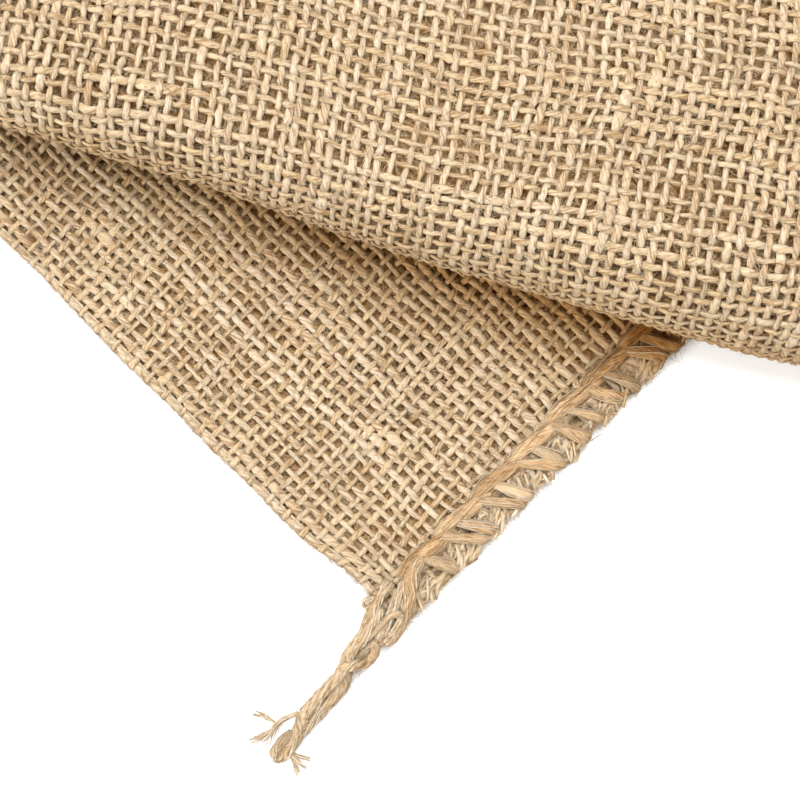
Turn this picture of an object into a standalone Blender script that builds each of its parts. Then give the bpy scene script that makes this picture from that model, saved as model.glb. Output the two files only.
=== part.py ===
"""A jute sack, 400 by 600 mm, lying empty with its lower end pleated under the rest of it.

The sack is first made flat: p runs across it from the folded side, q runs up it from the
bottom seam, and d is the distance off the surface midway between its two plies. Every point
of the flat sack is then folded by one function, fold_point, so the cloth and its two seams
follow the same folds. The pleat is a back-and-forth fold, a little deeper away from the
folded side: its two fold lines spread from one point just outside that side.
"""

import math

import bmesh
import bpy
from mathutils import Vector

MM = 0.001
COLLECTION = "jute_sack"
GUIDES = "guides"

# --- the flat sack, in millimetres ---------------------------------------------------------
SACK_WIDTH = 400.0
SACK_LENGTH = 600.0
PLY = 1.2
PLY_GAP = 1.0
PLY_OFFSET = (PLY + PLY_GAP) / 2
CLOTH_HALF = PLY_OFFSET + PLY / 2
CLEARANCE = 0.3

# --- the overlock seams ----------------------------------------------------------------------
SEAM_WIDTH = 10.6
SEAM_HALF = 2.75
STITCH = 10.0
RINGS_A_STITCH = 4
SCALLOP = 0.8
BAR_RELIEF = 0.35

# One row for each corner of a seam's section: its way in from the outer edge, its height off
# the middle surface, and how much of the scallop and of the stitch relief it takes.
SEAM_SECTION = (
    # inward, height, scallop, relief
    (0.0, 0.0, 1.0, 0.0),
    (2.6, 2.3, 0.6, 1.0),
    (7.9, 2.9, 0.0, 0.5),
    (10.6, 1.7, 0.0, 0.0),
    (10.6, -1.9, 0.0, 0.0),
    (8.2, -SEAM_HALF, 0.0, 0.0),
    (2.4, -SEAM_HALF, 0.6, 0.0),
)

# --- the pleat -------------------------------------------------------------------------------
APEX_P = -32.7
APEX_Q = 204.3
FLAP_TURN = math.radians(53.2)
FRONT_FOLD = math.radians(-8.5)
REAR_FOLD = FRONT_FOLD + FLAP_TURN / 2
HAIRPIN = 4.5
FRONT_HEIGHT = 8.4
BULB_LOWER = 10.0
BULB_UPPER = 15.6
BULB_LEAST = 0.30
BULB_GROWTH = 1.15
BULB_REACH = 200.0
TENT_SHARE = 1.35
TENT_RUN = 70.0

# How far the rounded front fold wanders from its straight line: distance from the pleat's
# point along the fold, and the shift away from the flap.
FRONT_WANDER = (
    # along, shift
    (30.0, 2.4),
    (100.0, 4.4),
    (128.0, 4.5),
    (186.0, 1.9),
    (240.0, 1.9),
    (265.0, 3.2),
    (340.0, 5.0),
    (460.0, 2.0),
)
CREST_WAVE = 0.05
CREST_WAVE_LENGTH = 205.0
SEAM_LIFT_REACH = 16.0
BILLOW = 1.2
BILLOW_LENGTH_P = 118.0
BILLOW_LENGTH_Q = 142.0
BILLOW_FADE = 30.0

# --- the seam's loose chain of twine at the corner, from the flap's corner, along its seam ----
# and up its folded side; heights are above the floor.
TAIL_DIAMETER = 5.0
TAIL_ROUTE = (
    # along seam, up side, height, thickness
    (-0.8, 3.9, 3.4, 1.25),
    (-3.6, 3.6, 3.3, 1.20),
    (-7.1, 2.6, 3.0, 1.05),
    (-11.2, 2.2, 2.7, 0.94),
    (-15.3, 1.5, 2.6, 0.88),
    (-19.4, 1.4, 2.6, 0.88),
    (-23.4, 1.1, 2.6, 0.86),
    (-26.4, 0.8, 2.6, 0.84),
    (-28.6, 0.6, 2.6, 0.84),
    (-30.4, 0.4, 2.5, 0.80),
)
TAIL_POINTS = 15
TAIL_END_STEP = 0.03

# --- the tail's frayed locks: where each tip lies, and the lock's radius at its root --------------
HEAD_LENGTH = 3.2
HEAD_RADIUS = 1.5
HEAD_MERIDIANS = 8
HEAD_RINGS = 5
LOCK_SIDES = 4
LOCK_TIP = 0.45
FRAYED_LOCKS = (
    # along seam, up side, height, radius
    (-30.7, 9.0, 0.8, 0.6),
    (-35.2, 5.8, 0.8, 0.8),
    (-34.6, -1.2, 0.9, 0.8),
    (-33.0, -5.5, 0.8, 0.6),
    (-30.0, -5.8, 0.8, 0.6),
)

# --- materials -----------------------------------------------------------------------------------
HESSIAN_COLOUR = (0.62, 0.47, 0.29)
HESSIAN_ROUGHNESS = 0.9
TWINE_COLOUR = (0.60, 0.42, 0.22)
TWINE_ROUGHNESS = 0.85

# --- where the frame's origin lies on the folded sack's plan -----------------------------------
CENTRE_P = 219.66
CENTRE_Q = 353.23

# --- spacing of the mesh on the flat sack -------------------------------------------------------
COLUMN_STEP = 32.0
ROW_STEP = 48.0
WRAP_STEPS = 4
HAIRPIN_STEPS = 7
BULB_STEPS = 12
SLOPE_STEPS = 8
CREASE_NEAR = 30.0
CREASE_FAR = 440.0
SLOPE_NEAR = 80.0
SLOPE_FAR = 320.0
CUT_MERGE = 0.05


def clear_scene():
    """Remove every object, so that the sack stands alone."""
    for thing in list(bpy.data.objects):
        bpy.data.objects.remove(thing, do_unlink=True)


def ease(value):
    """A smooth step from 0 to 1."""
    value = min(max(value, 0.0), 1.0)
    return value * value * (3 - 2 * value)


def front_wander(along):
    """The front fold's shift at one distance along it, smoothly between the table's rows."""
    rows = FRONT_WANDER
    if along <= rows[0][0]:
        return rows[0][1]
    for (start, low), (end, high) in zip(rows, rows[1:]):
        if along <= end:
            return low + (high - low) * ease((along - start) / (end - start))
    return rows[-1][1]


def bulb_size(along):
    """How large the rounded front fold is at one distance along it; 1 is its usual size."""
    growth = BULB_GROWTH * (1 - math.exp(-along / BULB_REACH))
    wave = CREST_WAVE * math.sin(2 * math.pi * along / CREST_WAVE_LENGTH)
    return (BULB_LEAST + growth) * (1 + wave)


def rest_height(p, q):
    """Height of the middle surface where the sack lies on the floor, raised at its seams."""
    inside = max(0.0, min(q, SACK_WIDTH - p) - SEAM_WIDTH)
    raised = math.exp(-((inside / SEAM_LIFT_REACH) ** 2))
    return CLOTH_HALF + (SEAM_HALF - CLOTH_HALF) * raised


def section_point(along, run, rest):
    """Across the pleat: place, height and upward normal after a run of cloth.

    along is the distance from the pleat's point, run the length of cloth from the flat
    sack's own zero direction, and rest the height at which the cloth lies on the floor.
    The cloth goes forward on the floor, back over the hairpin, forward under the rounded
    front fold, over it, and down a long slope to the floor.
    """
    size = bulb_size(along)
    lower = BULB_LOWER * size
    upper = BULB_UPPER * size
    edge = along * FRONT_FOLD + front_wander(along)
    rear = along * REAR_FOLD - HAIRPIN
    front = edge + lower
    run -= rear - along * FLAP_TURN
    if run <= 0:
        return rear + run, rest, 0.0, 1.0
    if run <= math.pi * HAIRPIN:
        angle = run / HAIRPIN
        place = rear + HAIRPIN * math.sin(angle)
        height = rest + HAIRPIN * (1 - math.cos(angle))
        return place, height, -math.sin(angle), math.cos(angle)
    run -= math.pi * HAIRPIN
    under = rear - front
    top_of_hairpin = rest + 2 * HAIRPIN
    if run <= under:
        share = run / under
        height = top_of_hairpin + (FRONT_HEIGHT - top_of_hairpin) * ease(share)
        return rear - run, height, 0.0, -1.0
    run -= under
    if run <= math.pi / 2 * lower:
        angle = run / lower
        place = front - lower * math.sin(angle)
        height = FRONT_HEIGHT + lower * (1 - math.cos(angle))
        return place, height, -math.sin(angle), -math.cos(angle)
    run -= math.pi / 2 * lower
    if run <= math.pi / 2 * upper:
        angle = run / upper
        place = edge + upper * (1 - math.cos(angle))
        height = FRONT_HEIGHT + lower + upper * math.sin(angle)
        return place, height, -math.cos(angle), math.sin(angle)
    run -= math.pi / 2 * upper
    crest = FRONT_HEIGHT + lower + upper
    slope_length = TENT_SHARE * (rear - edge - upper) + TENT_RUN
    share = min(run / slope_length, 1.0)
    fall = (1 + math.cos(math.pi * share)) / 2
    slope = -(crest - rest) * math.pi / (2 * slope_length) * math.sin(math.pi * share)
    length = math.hypot(1.0, slope)
    return edge + upper + run, rest + (crest - rest) * fall, -slope / length, 1 / length


def billow(p, q, up_normal):
    """How far the upper ply puffs up where it lies open to the air, away from the seams."""
    inside = min(q, SACK_WIDTH - p) - SEAM_WIDTH
    fade = ease(inside / BILLOW_FADE) * ease(p / BILLOW_FADE) * ease((up_normal - 0.5) * 2)
    waves = math.sin(2 * math.pi * p / BILLOW_LENGTH_P) * math.cos(2 * math.pi * q / BILLOW_LENGTH_Q)
    return BILLOW * fade * (1 + waves) / 2


def fold_point(p, q, d):
    """Where a point of the flat sack lies once the sack is pleated, in metres."""
    across = p - APEX_P
    upward = q - APEX_Q
    along = math.hypot(across, upward)
    run = along * math.atan2(upward, across)
    place, height, level, vertical = section_point(along, run, rest_height(p, q))
    if d > 0:
        d += billow(p, q, vertical) * min(d / PLY_OFFSET, 1.0)
    turn = place / along
    x = APEX_P + along * math.cos(turn) - d * level * math.sin(turn)
    y = APEX_Q + along * math.sin(turn) + d * level * math.cos(turn)
    return Vector((x - CENTRE_P, y - CENTRE_Q, height + d * vertical)) * MM


def flap_point(along_seam, up_side, height):
    """A point beside the flap's corner, given along its seam and up its folded side."""
    corner = fold_point(0.0, 0.0, 0.0)
    seam = Vector((math.cos(FLAP_TURN), math.sin(FLAP_TURN), 0.0))
    side = Vector((-math.sin(FLAP_TURN), math.cos(FLAP_TURN), 0.0))
    point = corner + (seam * along_seam + side * up_side) * MM
    point.z = height * MM
    return point


def crease_lines():
    """Lines of the flat sack that the mesh follows: two points (p, q) on each."""
    near, far = CREASE_NEAR, CREASE_FAR
    flat_rear = REAR_FOLD - FLAP_TURN
    lines = []

    def ray(angle, near_offset, far_offset):
        direction = (math.cos(angle), math.sin(angle))
        ends = []
        for distance, offset in ((near, near_offset), (far, far_offset)):
            ends.append((APEX_P + distance * direction[0] - offset * direction[1],
                         APEX_Q + distance * direction[1] + offset * direction[0]))
        lines.append(ends)

    for step in range(HAIRPIN_STEPS + 1):
        offset = -HAIRPIN + math.pi * HAIRPIN * step / HAIRPIN_STEPS
        ray(flat_rear, offset, offset)
    # The cloth goes on over the front fold this much further than a sharp crease would put it.
    slack = (math.pi - 2) * HAIRPIN
    bulb_run = math.pi / 2 * (BULB_LOWER + BULB_UPPER)
    sizes = (bulb_size(near), bulb_size(far))
    for step in range(BULB_STEPS + 1):
        share = step / BULB_STEPS
        offsets = []
        for size in sizes:
            start = slack - BULB_LOWER * size
            end = start + bulb_run * size
            offsets.append(start + (end - start) * share)
        ray(FRONT_FOLD, *offsets)
    for step in range(1, SLOPE_STEPS + 1):
        share = step / SLOPE_STEPS
        starts = [slack + (bulb_run - BULB_LOWER) * size for size in sizes]
        ray(FRONT_FOLD, starts[0] + SLOPE_NEAR * share, starts[1] + SLOPE_FAR * share)
    return lines


def cut_flat(mesh, start, end):
    """Cut a flat mesh along the upright plane through two points of the flat sack."""
    direction = Vector((end[0] - start[0], end[1] - start[1], 0.0))
    normal = direction.cross(Vector((0.0, 0.0, 1.0))).normalized()
    geometry = mesh.verts[:] + mesh.edges[:] + mesh.faces[:]
    bmesh.ops.bisect_plane(mesh, geom=geometry, dist=CUT_MERGE,
                           plane_co=Vector((start[0], start[1], 0.0)), plane_no=normal)


def cut_steps(mesh, axis, first, last, step):
    """Cut a flat mesh at even steps across (axis 0) or up (axis 1) the sack."""
    count = max(2, round((last - first) / step))
    for number in range(1, count):
        place = first + (last - first) * number / count
        start = (place, 0.0) if axis == 0 else (0.0, place)
        end = (place, 1.0) if axis == 0 else (1.0, place)
        cut_flat(mesh, start, end)


def fold_mesh(mesh):
    """Triangulate a flat mesh and fold every point of it."""
    bmesh.ops.triangulate(mesh, faces=mesh.faces[:])
    for vertex in mesh.verts:
        vertex.co = fold_point(*vertex.co)


def link(thing, material):
    """Put an object in the sack's collection with its material."""
    thing.data.materials.append(material)
    bpy.data.collections[COLLECTION].objects.link(thing)
    return thing


def make_object(name, mesh, material):
    """Turn a bmesh into an object with smooth round shading."""
    data = bpy.data.meshes.new(name)
    mesh.to_mesh(data)
    mesh.free()
    data.shade_smooth()
    return link(bpy.data.objects.new(name, data), material)


def make_material(name, colour, roughness):
    """A plain cloth or twine material."""
    material = bpy.data.materials.new(name)
    material.use_nodes = True
    shader = material.node_tree.nodes["Principled BSDF"]
    shader.inputs["Base Color"].default_value = (*colour, 1.0)
    shader.inputs["Roughness"].default_value = roughness
    shader.inputs["Metallic"].default_value = 0.0
    return material


def sheet_profile():
    """The cloth's line across the sack: lower ply, round the folded side, upper ply."""
    end = SACK_WIDTH - SEAM_WIDTH - CLEARANCE
    points = [(end, -PLY_OFFSET)]
    for step in range(WRAP_STEPS + 1):
        angle = math.pi * step / WRAP_STEPS
        points.append((PLY_OFFSET * (1 - math.sin(angle)), -PLY_OFFSET * math.cos(angle)))
    points.append((end, PLY_OFFSET))
    return points


def make_cloth(material):
    """One length of hessian round the folded side: both plies, pleated as one sheet."""
    bottom = SEAM_WIDTH + CLEARANCE
    mesh = bmesh.new()
    corners = [mesh.verts.new((p, bottom, d)) for p, d in sheet_profile()]
    edges = [mesh.edges.new(pair) for pair in zip(corners, corners[1:])]
    drawn = bmesh.ops.extrude_edge_only(mesh, edges=edges)["geom"]
    upper = [item for item in drawn if isinstance(item, bmesh.types.BMVert)]
    bmesh.ops.translate(mesh, verts=upper, vec=(0.0, SACK_LENGTH - bottom, 0.0))
    cut_steps(mesh, 0, PLY_OFFSET, SACK_WIDTH - SEAM_WIDTH, COLUMN_STEP)
    cut_steps(mesh, 1, bottom, SACK_LENGTH, ROW_STEP)
    for start, end in crease_lines():
        cut_flat(mesh, start, end)
    bmesh.ops.recalc_face_normals(mesh, faces=mesh.faces[:])
    fold_mesh(mesh)
    cloth = make_object("sack_cloth", mesh, material)
    solidify = cloth.modifiers.new("Thickness", "SOLIDIFY")
    solidify.thickness = PLY * MM
    solidify.offset = 0.0
    solidify.use_even_offset = True
    return cloth


def seam_corner(row, travel):
    """One corner of a seam's section at one place along the seam: way in, and height.

    The seam is widest where two bars of a stitch meet, half a stitch from its needle hole.
    """
    inward, height, scallop, relief = row
    beat = (1 + math.cos(2 * math.pi * travel / STITCH)) / 2
    return inward + SCALLOP * scallop * beat, height - BAR_RELIEF * relief * beat


def make_seam(name, length, place, material, creases=()):
    """An overlock seam: its stitched section drawn along the edge, then folded with it.

    place turns a way along the seam, a way in from its outer edge and a height into a point
    of the flat sack, and creases are the lines where the seam turns back on itself.
    """
    mesh = bmesh.new()
    count = round(length / STITCH * RINGS_A_STITCH)
    rings = []
    for number in range(count + 1):
        travel = length * number / count
        corners = [seam_corner(row, travel) for row in SEAM_SECTION]
        rings.append([mesh.verts.new(place(travel, *corner)) for corner in corners])
    for ring, following in zip(rings, rings[1:]):
        for side in range(len(ring)):
            ahead = (side + 1) % len(ring)
            mesh.faces.new((ring[side], ring[ahead], following[ahead], following[side]))
    mesh.faces.new(rings[0])
    mesh.faces.new(rings[-1])
    bmesh.ops.recalc_face_normals(mesh, faces=mesh.faces[:])
    for start, end in creases:
        cut_flat(mesh, start, end)
    fold_mesh(mesh)
    return make_object(name, mesh, material)


def tail_point(share):
    """A smooth curve through the tail's route: a point and its thickness at a share of it."""
    span = share * (len(TAIL_ROUTE) - 1)
    index = min(int(span), len(TAIL_ROUTE) - 2)
    part = span - index
    rows = [TAIL_ROUTE[min(max(index + step, 0), len(TAIL_ROUTE) - 1)] for step in (-1, 0, 1, 2)]
    values = []
    for before, start, end, after in zip(*rows):
        bend = 2 * before - 5 * start + 4 * end - after
        turn = 3 * (start - end) + after - before
        values.append(start + 0.5 * part * (end - before + part * (bend + part * turn)))
    along_seam, up_side, height, thickness = values
    return flap_point(along_seam, up_side, height), thickness


def make_tail(material):
    """The chain of twine that the seam's stitches run out into at the corner."""
    data = bpy.data.curves.new("chain_tail", "CURVE")
    data.dimensions = "3D"
    data.bevel_depth = TAIL_DIAMETER / 2 * MM
    data.bevel_resolution = 2
    data.use_fill_caps = True
    spline = data.splines.new("POLY")
    spline.points.add(TAIL_POINTS - 1)
    for number, point in enumerate(spline.points):
        place, thickness = tail_point(number / (TAIL_POINTS - 1))
        point.co = (*place, 1.0)
        point.radius = thickness
    return link(bpy.data.objects.new("chain_tail", data), material)


def make_lock(start, end, radius):
    """A tapering lock of yarn between two points."""
    way = end - start
    lock = bmesh.new()
    bmesh.ops.create_cone(lock, cap_ends=True, segments=LOCK_SIDES, radius1=radius,
                          radius2=radius * LOCK_TIP, depth=way.length)
    turn = Vector((0.0, 0.0, 1.0)).rotation_difference(way).to_matrix().to_4x4()
    bmesh.ops.transform(lock, matrix=turn, verts=lock.verts[:])
    bmesh.ops.translate(lock, vec=(start + end) / 2, verts=lock.verts[:])
    data = bpy.data.meshes.new("lock")
    lock.to_mesh(data)
    lock.free()
    return data


def make_frayed_ends(material, guides):
    """The tail's cut ends: a soft head that its frayed locks spread from, one body."""
    end, _ = tail_point(1.0)
    before, _ = tail_point(1.0 - TAIL_END_STEP)
    ahead = (end - before).normalized()
    centre = end + ahead * (HEAD_LENGTH / 2 + CLEARANCE) * MM
    centre.z = HEAD_RADIUS * MM + CLEARANCE * MM
    head = bmesh.new()
    bmesh.ops.create_uvsphere(head, u_segments=HEAD_MERIDIANS, v_segments=HEAD_RINGS,
                              radius=HEAD_RADIUS * MM)
    bmesh.ops.scale(head, verts=head.verts[:], vec=(HEAD_LENGTH / 2 / HEAD_RADIUS, 1.0, 1.0))
    turn = Vector((1.0, 0.0, 0.0)).rotation_difference(ahead).to_matrix().to_4x4()
    bmesh.ops.transform(head, matrix=turn, verts=head.verts[:])
    bmesh.ops.translate(head, vec=centre, verts=head.verts[:])
    ends = make_object("frayed_ends", head, material)
    for number, (along_seam, up_side, height, radius) in enumerate(FRAYED_LOCKS):
        tip = flap_point(along_seam, up_side, height)
        data = make_lock(centre, tip, radius * MM)
        cutter = bpy.data.objects.new(f"lock_{number}", data)
        cutter.hide_render = True
        cutter.display_type = "WIRE"
        guides.objects.link(cutter)
        union = ends.modifiers.new(f"Lock {number}", "BOOLEAN")
        union.operation = "UNION"
        union.solver = "EXACT"
        union.object = cutter
    return ends


def build():
    """Make the sack's pieces."""
    clear_scene()
    for name in (COLLECTION, GUIDES):
        bpy.context.scene.collection.children.link(bpy.data.collections.new(name))
    hessian = make_material("hessian", HESSIAN_COLOUR, HESSIAN_ROUGHNESS)
    twine = make_material("seam_twine", TWINE_COLOUR, TWINE_ROUGHNESS)
    make_cloth(hessian)
    creases = crease_lines()[:HAIRPIN_STEPS + 1]
    make_seam("bottom_seam", SACK_WIDTH - SEAM_WIDTH - CLEARANCE,
              lambda travel, inward, height: (travel, inward, height), twine, creases)
    make_seam("side_seam", SACK_LENGTH,
              lambda travel, inward, height: (SACK_WIDTH - inward, travel, height), twine)
    make_tail(twine)
    make_frayed_ends(twine, bpy.data.collections[GUIDES])


build()
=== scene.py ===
# %% [markdown]
# # A jute sack with its lower end pleated
#
# The sack lies empty on a pale floor. Its cloth is hessian, a plain weave of coarse jute yarn
# that light passes through, and its two sewn edges are overlocked with thick jute twine. Such
# cloth could be a smooth sheet with a weave painted on it, but this close every yarn has its
# own edge, shadow and hairs. So this script grows the yarns, the sewing and the loose tail of
# twine as meshes over the solids of model.glb.
#
# The first cell loads the solids from model.glb and applies their placement to their meshes.

import math

import bpy
import numpy as np
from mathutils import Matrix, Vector


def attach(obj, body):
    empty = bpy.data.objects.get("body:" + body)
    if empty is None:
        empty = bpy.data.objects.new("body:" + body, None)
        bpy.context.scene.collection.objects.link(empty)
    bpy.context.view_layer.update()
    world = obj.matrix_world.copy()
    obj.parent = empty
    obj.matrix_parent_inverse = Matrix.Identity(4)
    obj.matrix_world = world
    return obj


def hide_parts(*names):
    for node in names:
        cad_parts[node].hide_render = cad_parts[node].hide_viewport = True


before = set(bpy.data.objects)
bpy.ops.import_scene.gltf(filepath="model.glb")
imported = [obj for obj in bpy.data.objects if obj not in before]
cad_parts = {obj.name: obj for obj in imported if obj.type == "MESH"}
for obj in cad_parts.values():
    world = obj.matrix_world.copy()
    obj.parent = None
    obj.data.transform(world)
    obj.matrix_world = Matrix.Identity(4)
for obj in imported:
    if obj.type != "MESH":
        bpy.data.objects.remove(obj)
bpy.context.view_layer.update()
MM = 0.001

# %% [markdown]
# ## Camera
#
# The camera looks straight down on the corner where the bottom seam meets the folded side,
# from 400 mm above the floor, turned a little so that the long side leans. The lens follows
# from how wide a piece of the floor is to be in view.

# %% Camera
CAMERA_PLACE = (-0.07476, -0.20073, 0.400)
CAMERA_TURN = math.radians(7.5)
VIEW_WIDTH = 0.1544

lens = bpy.data.cameras.new("camera")
lens.sensor_width = 36.0
lens.lens = lens.sensor_width * CAMERA_PLACE[2] / VIEW_WIDTH
lens.clip_start = 0.01
lens.clip_end = 20.0
camera = bpy.data.objects.new("camera", lens)
camera.location = CAMERA_PLACE
camera.rotation_euler = (0.0, 0.0, CAMERA_TURN)
bpy.context.scene.collection.objects.link(camera)
bpy.context.scene.camera = camera
print("camera lens", round(lens.lens, 1), "mm")

# %% [markdown]
# ## The sack laid flat
#
# Yarns and stitches are regular only on the flat sack, so everything is laid out there first
# and folded afterwards. On it, p runs across from the folded side, q runs up from the bottom
# seam and d is the distance off the surface midway between the two plies. These and all
# lengths up to the fold are millimetres.

# %% Sizes of the flat sack
SACK_WIDTH, SACK_LENGTH = 400.0, 600.0
PLY_OFFSET, CLOTH_HALF = 1.1, 1.7
SEAM_WIDTH, SEAM_HALF = 10.6, 2.75
CENTRE_P, CENTRE_Q = 219.66, 353.23
print("flat sack", SACK_WIDTH, "by", SACK_LENGTH, "mm")

# %% [markdown]
# ## The pleat
#
# The cloth goes forward on the floor as a flap, back over a tight hairpin, forward under a
# rounded front fold, over it, and down a long slope. Both fold lines spread from one point
# just outside the folded side, so the pleat deepens across the sack. A cloth simulation would
# fold it some other way each time; a drawn section falls where it should.
#
# Across the pleat, a place is an arc length about that point. The next values are the point
# itself, the directions of the folds and the sizes of the section.

# %% Sizes of the pleat
APEX_P, APEX_Q = -32.7, 204.3
FLAP_TURN = math.radians(53.2)
FRONT_FOLD = math.radians(-8.5)
REAR_FOLD = FRONT_FOLD + FLAP_TURN / 2
HAIRPIN, FRONT_HEIGHT = 4.5, 8.4
BULB_LOWER, BULB_UPPER = 10.0, 15.6
TENT_SHARE, TENT_RUN = 1.35, 70.0
print("rear fold turned", round(math.degrees(REAR_FOLD), 1), "degrees")

# %% [markdown]
# Cloth never folds along a ruled line. The front fold wanders a few millimetres to and fro,
# and it grows rounder across the sack. Both are given as a few values and eased between them.
# A row of the first table is a distance along the fold and how far the fold has strayed there.

# %% The front fold's wander and size
FRONT_WANDER = ((30.0, 2.4), (100.0, 4.4), (128.0, 4.5), (186.0, 1.9),
                (240.0, 1.9), (265.0, 3.2), (340.0, 5.0), (460.0, 2.0))
BULB_LEAST, BULB_GROWTH, BULB_REACH = 0.30, 1.15, 200.0
CREST_WAVE, CREST_WAVE_LENGTH = 0.05, 205.0


def ease(value):
    """A smooth step from 0 to 1."""
    value = np.clip(value, 0.0, 1.0)
    return value * value * (3 - 2 * value)


def front_wander(along):
    """How far the front fold wanders from its straight line."""
    shift = np.full_like(along, FRONT_WANDER[0][1])
    for (start, low), (end, high) in zip(FRONT_WANDER, FRONT_WANDER[1:]):
        shift += (high - low) * ease((along - start) / (end - start))
    return shift


def bulb_size(along):
    """How large the rounded front fold is; 1 is its usual size."""
    growth = BULB_GROWTH * (1 - np.exp(-along / BULB_REACH))
    wave = CREST_WAVE * np.sin(2 * np.pi * along / CREST_WAVE_LENGTH)
    return (BULB_LEAST + growth) * (1 + wave)


print("front fold's size", np.round(bulb_size(np.array([50.0, 200.0, 400.0])), 2).tolist())

# %% [markdown]
# The section is a chain of six parts: the flap, the hairpin, the run forward, the lower and
# the upper quarter of the front fold, and the slope down to the sack's own height. Each part
# knows its place, height and normal from how far along the cloth a point lies, so one call
# folds any number of points at once.

# %% Section of the pleat
def section(along, run, rest):
    """Place, height and normal across the pleat, and how the cloth lies there.

    The last two values are the run past the flap's end and the place past the front fold's
    outermost line.
    """
    size = bulb_size(along)
    lower, upper = BULB_LOWER * size, BULB_UPPER * size
    edge = along * FRONT_FOLD + front_wander(along)
    rear = along * REAR_FOLD - HAIRPIN
    front = edge + lower
    under = rear - front
    s = run - (rear - along * FLAP_TURN)
    ends = np.cumsum([np.full_like(s, np.pi * HAIRPIN), under, np.pi / 2 * lower,
                      np.pi / 2 * upper], axis=0)
    top = rest + 2 * HAIRPIN
    crest = FRONT_HEIGHT + lower + upper
    back = np.clip(s / HAIRPIN, 0, np.pi)
    share = np.clip((s - ends[0]) / under, 0, 1)
    low = np.clip((s - ends[1]) / lower, 0, np.pi / 2)
    high = np.clip((s - ends[2]) / upper, 0, np.pi / 2)
    rest_run = np.maximum(s - ends[3], 0)
    slope_length = TENT_SHARE * (rear - edge - upper) + TENT_RUN
    down = np.pi * np.minimum(rest_run / slope_length, 1)
    slope = -(crest - rest) * np.pi / (2 * slope_length) * np.sin(down)
    steep = np.hypot(1, slope)
    where = [s <= 0, s <= ends[0], s <= ends[1], s <= ends[2], s <= ends[3]]
    place = np.select(where, [rear + s, rear + HAIRPIN * np.sin(back), rear - (s - ends[0]),
                              front - lower * np.sin(low), edge + upper * (1 - np.cos(high))],
                      edge + upper + rest_run)
    height = np.select(where, [rest, rest + HAIRPIN * (1 - np.cos(back)),
                               top + (FRONT_HEIGHT - top) * ease(share),
                               FRONT_HEIGHT + lower * (1 - np.cos(low)),
                               FRONT_HEIGHT + lower + upper * np.sin(high)],
                       rest + (crest - rest) * (1 + np.cos(down)) / 2)
    level = np.select(where, [0 * s, -np.sin(back), 0 * s, -np.sin(low), -np.cos(high)],
                      -slope / steep)
    vertical = np.select(where, [1 + 0 * s, np.cos(back), -1 + 0 * s, -np.cos(low),
                                 np.sin(high)], 1 / steep)
    return place, height, level, vertical, s, place - edge


crest_200 = FRONT_HEIGHT + (BULB_LOWER + BULB_UPPER) * bulb_size(np.array([200.0]))
print("front fold's crest, 200 mm along:", round(float(crest_200[0]), 1), "mm")

# %% [markdown]
# Near a seam the cloth is propped up by the seam's thickness, and away from it the upper ply
# billows a little. With those two, the fold takes a point of the flat sack to its place in
# the scene, in metres.

# %% Folding points of the flat sack
SEAM_LIFT_REACH = 16.0
BILLOW, BILLOW_LENGTH_P, BILLOW_LENGTH_Q, BILLOW_FADE = 1.2, 118.0, 142.0, 30.0


def pleat(p, q):
    """The section at points of the flat sack."""
    across, upward = p - APEX_P, q - APEX_Q
    along = np.hypot(across, upward)
    inside = np.maximum(np.minimum(q, SACK_WIDTH - p) - SEAM_WIDTH, 0)
    rest = CLOTH_HALF + (SEAM_HALF - CLOTH_HALF) * np.exp(-((inside / SEAM_LIFT_REACH) ** 2))
    return along, section(along, along * np.arctan2(upward, across), rest)


def fold(p, q, d):
    """Folded places of points (p, q, d) of the flat sack, in metres."""
    along, (place, height, level, vertical, _, _) = pleat(p, q)
    inside = np.minimum(q, SACK_WIDTH - p) - SEAM_WIDTH
    fade = ease(inside / BILLOW_FADE) * ease(p / BILLOW_FADE) * ease((vertical - 0.5) * 2)
    waves = np.sin(2 * np.pi * p / BILLOW_LENGTH_P) * np.cos(2 * np.pi * q / BILLOW_LENGTH_Q)
    d = d + BILLOW * fade * (1 + waves) / 2 * np.clip(d / PLY_OFFSET, 0, 1)
    turn = place / along
    x = APEX_P + along * np.cos(turn) - d * level * np.sin(turn) - CENTRE_P
    y = APEX_Q + along * np.sin(turn) + d * level * np.cos(turn) - CENTRE_Q
    return np.stack([x, y, height + d * vertical], axis=-1) * MM


corner = fold(np.array([0.0]), np.array([0.0]), np.array([0.0]))[0]
print("flap corner", np.round(corner, 4).tolist())

# %% [markdown]
# ## The cloth unrolled
#
# The sack is one length of hessian, folded up its left side. Yarns that cross this fold go
# round it, so they are laid out on the unrolled cloth. There, w is the way round from the
# folded side's middle, negative on the lower ply, and h is the height outward from the ply's
# middle. The folded side is not straight: it is drawn in at the corner by the seam and in
# small waves above it. A row of the table is a place up the side and how far it is drawn in.

# %% From the unrolled cloth to the flat sack
WEAVE_OFFSET = 0.86
DRAWN_IN, DRAWN_REACH = 1.9, 16.0
FOLDED_SIDE = ((0, 0.0), (8, 0.15), (12, 0.8), (16, 1.2), (20, 0.8), (24, 0.25), (30, 0.15),
               (38, 0.5), (44, 0.55), (50, 0.35), (60, 0.8), (66, 0.75), (74, 0.6), (84, 0.95),
               (90, 1.15), (97, 1.5), (104, 1.4), (125, 0.7), (160, 0.0))


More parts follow.
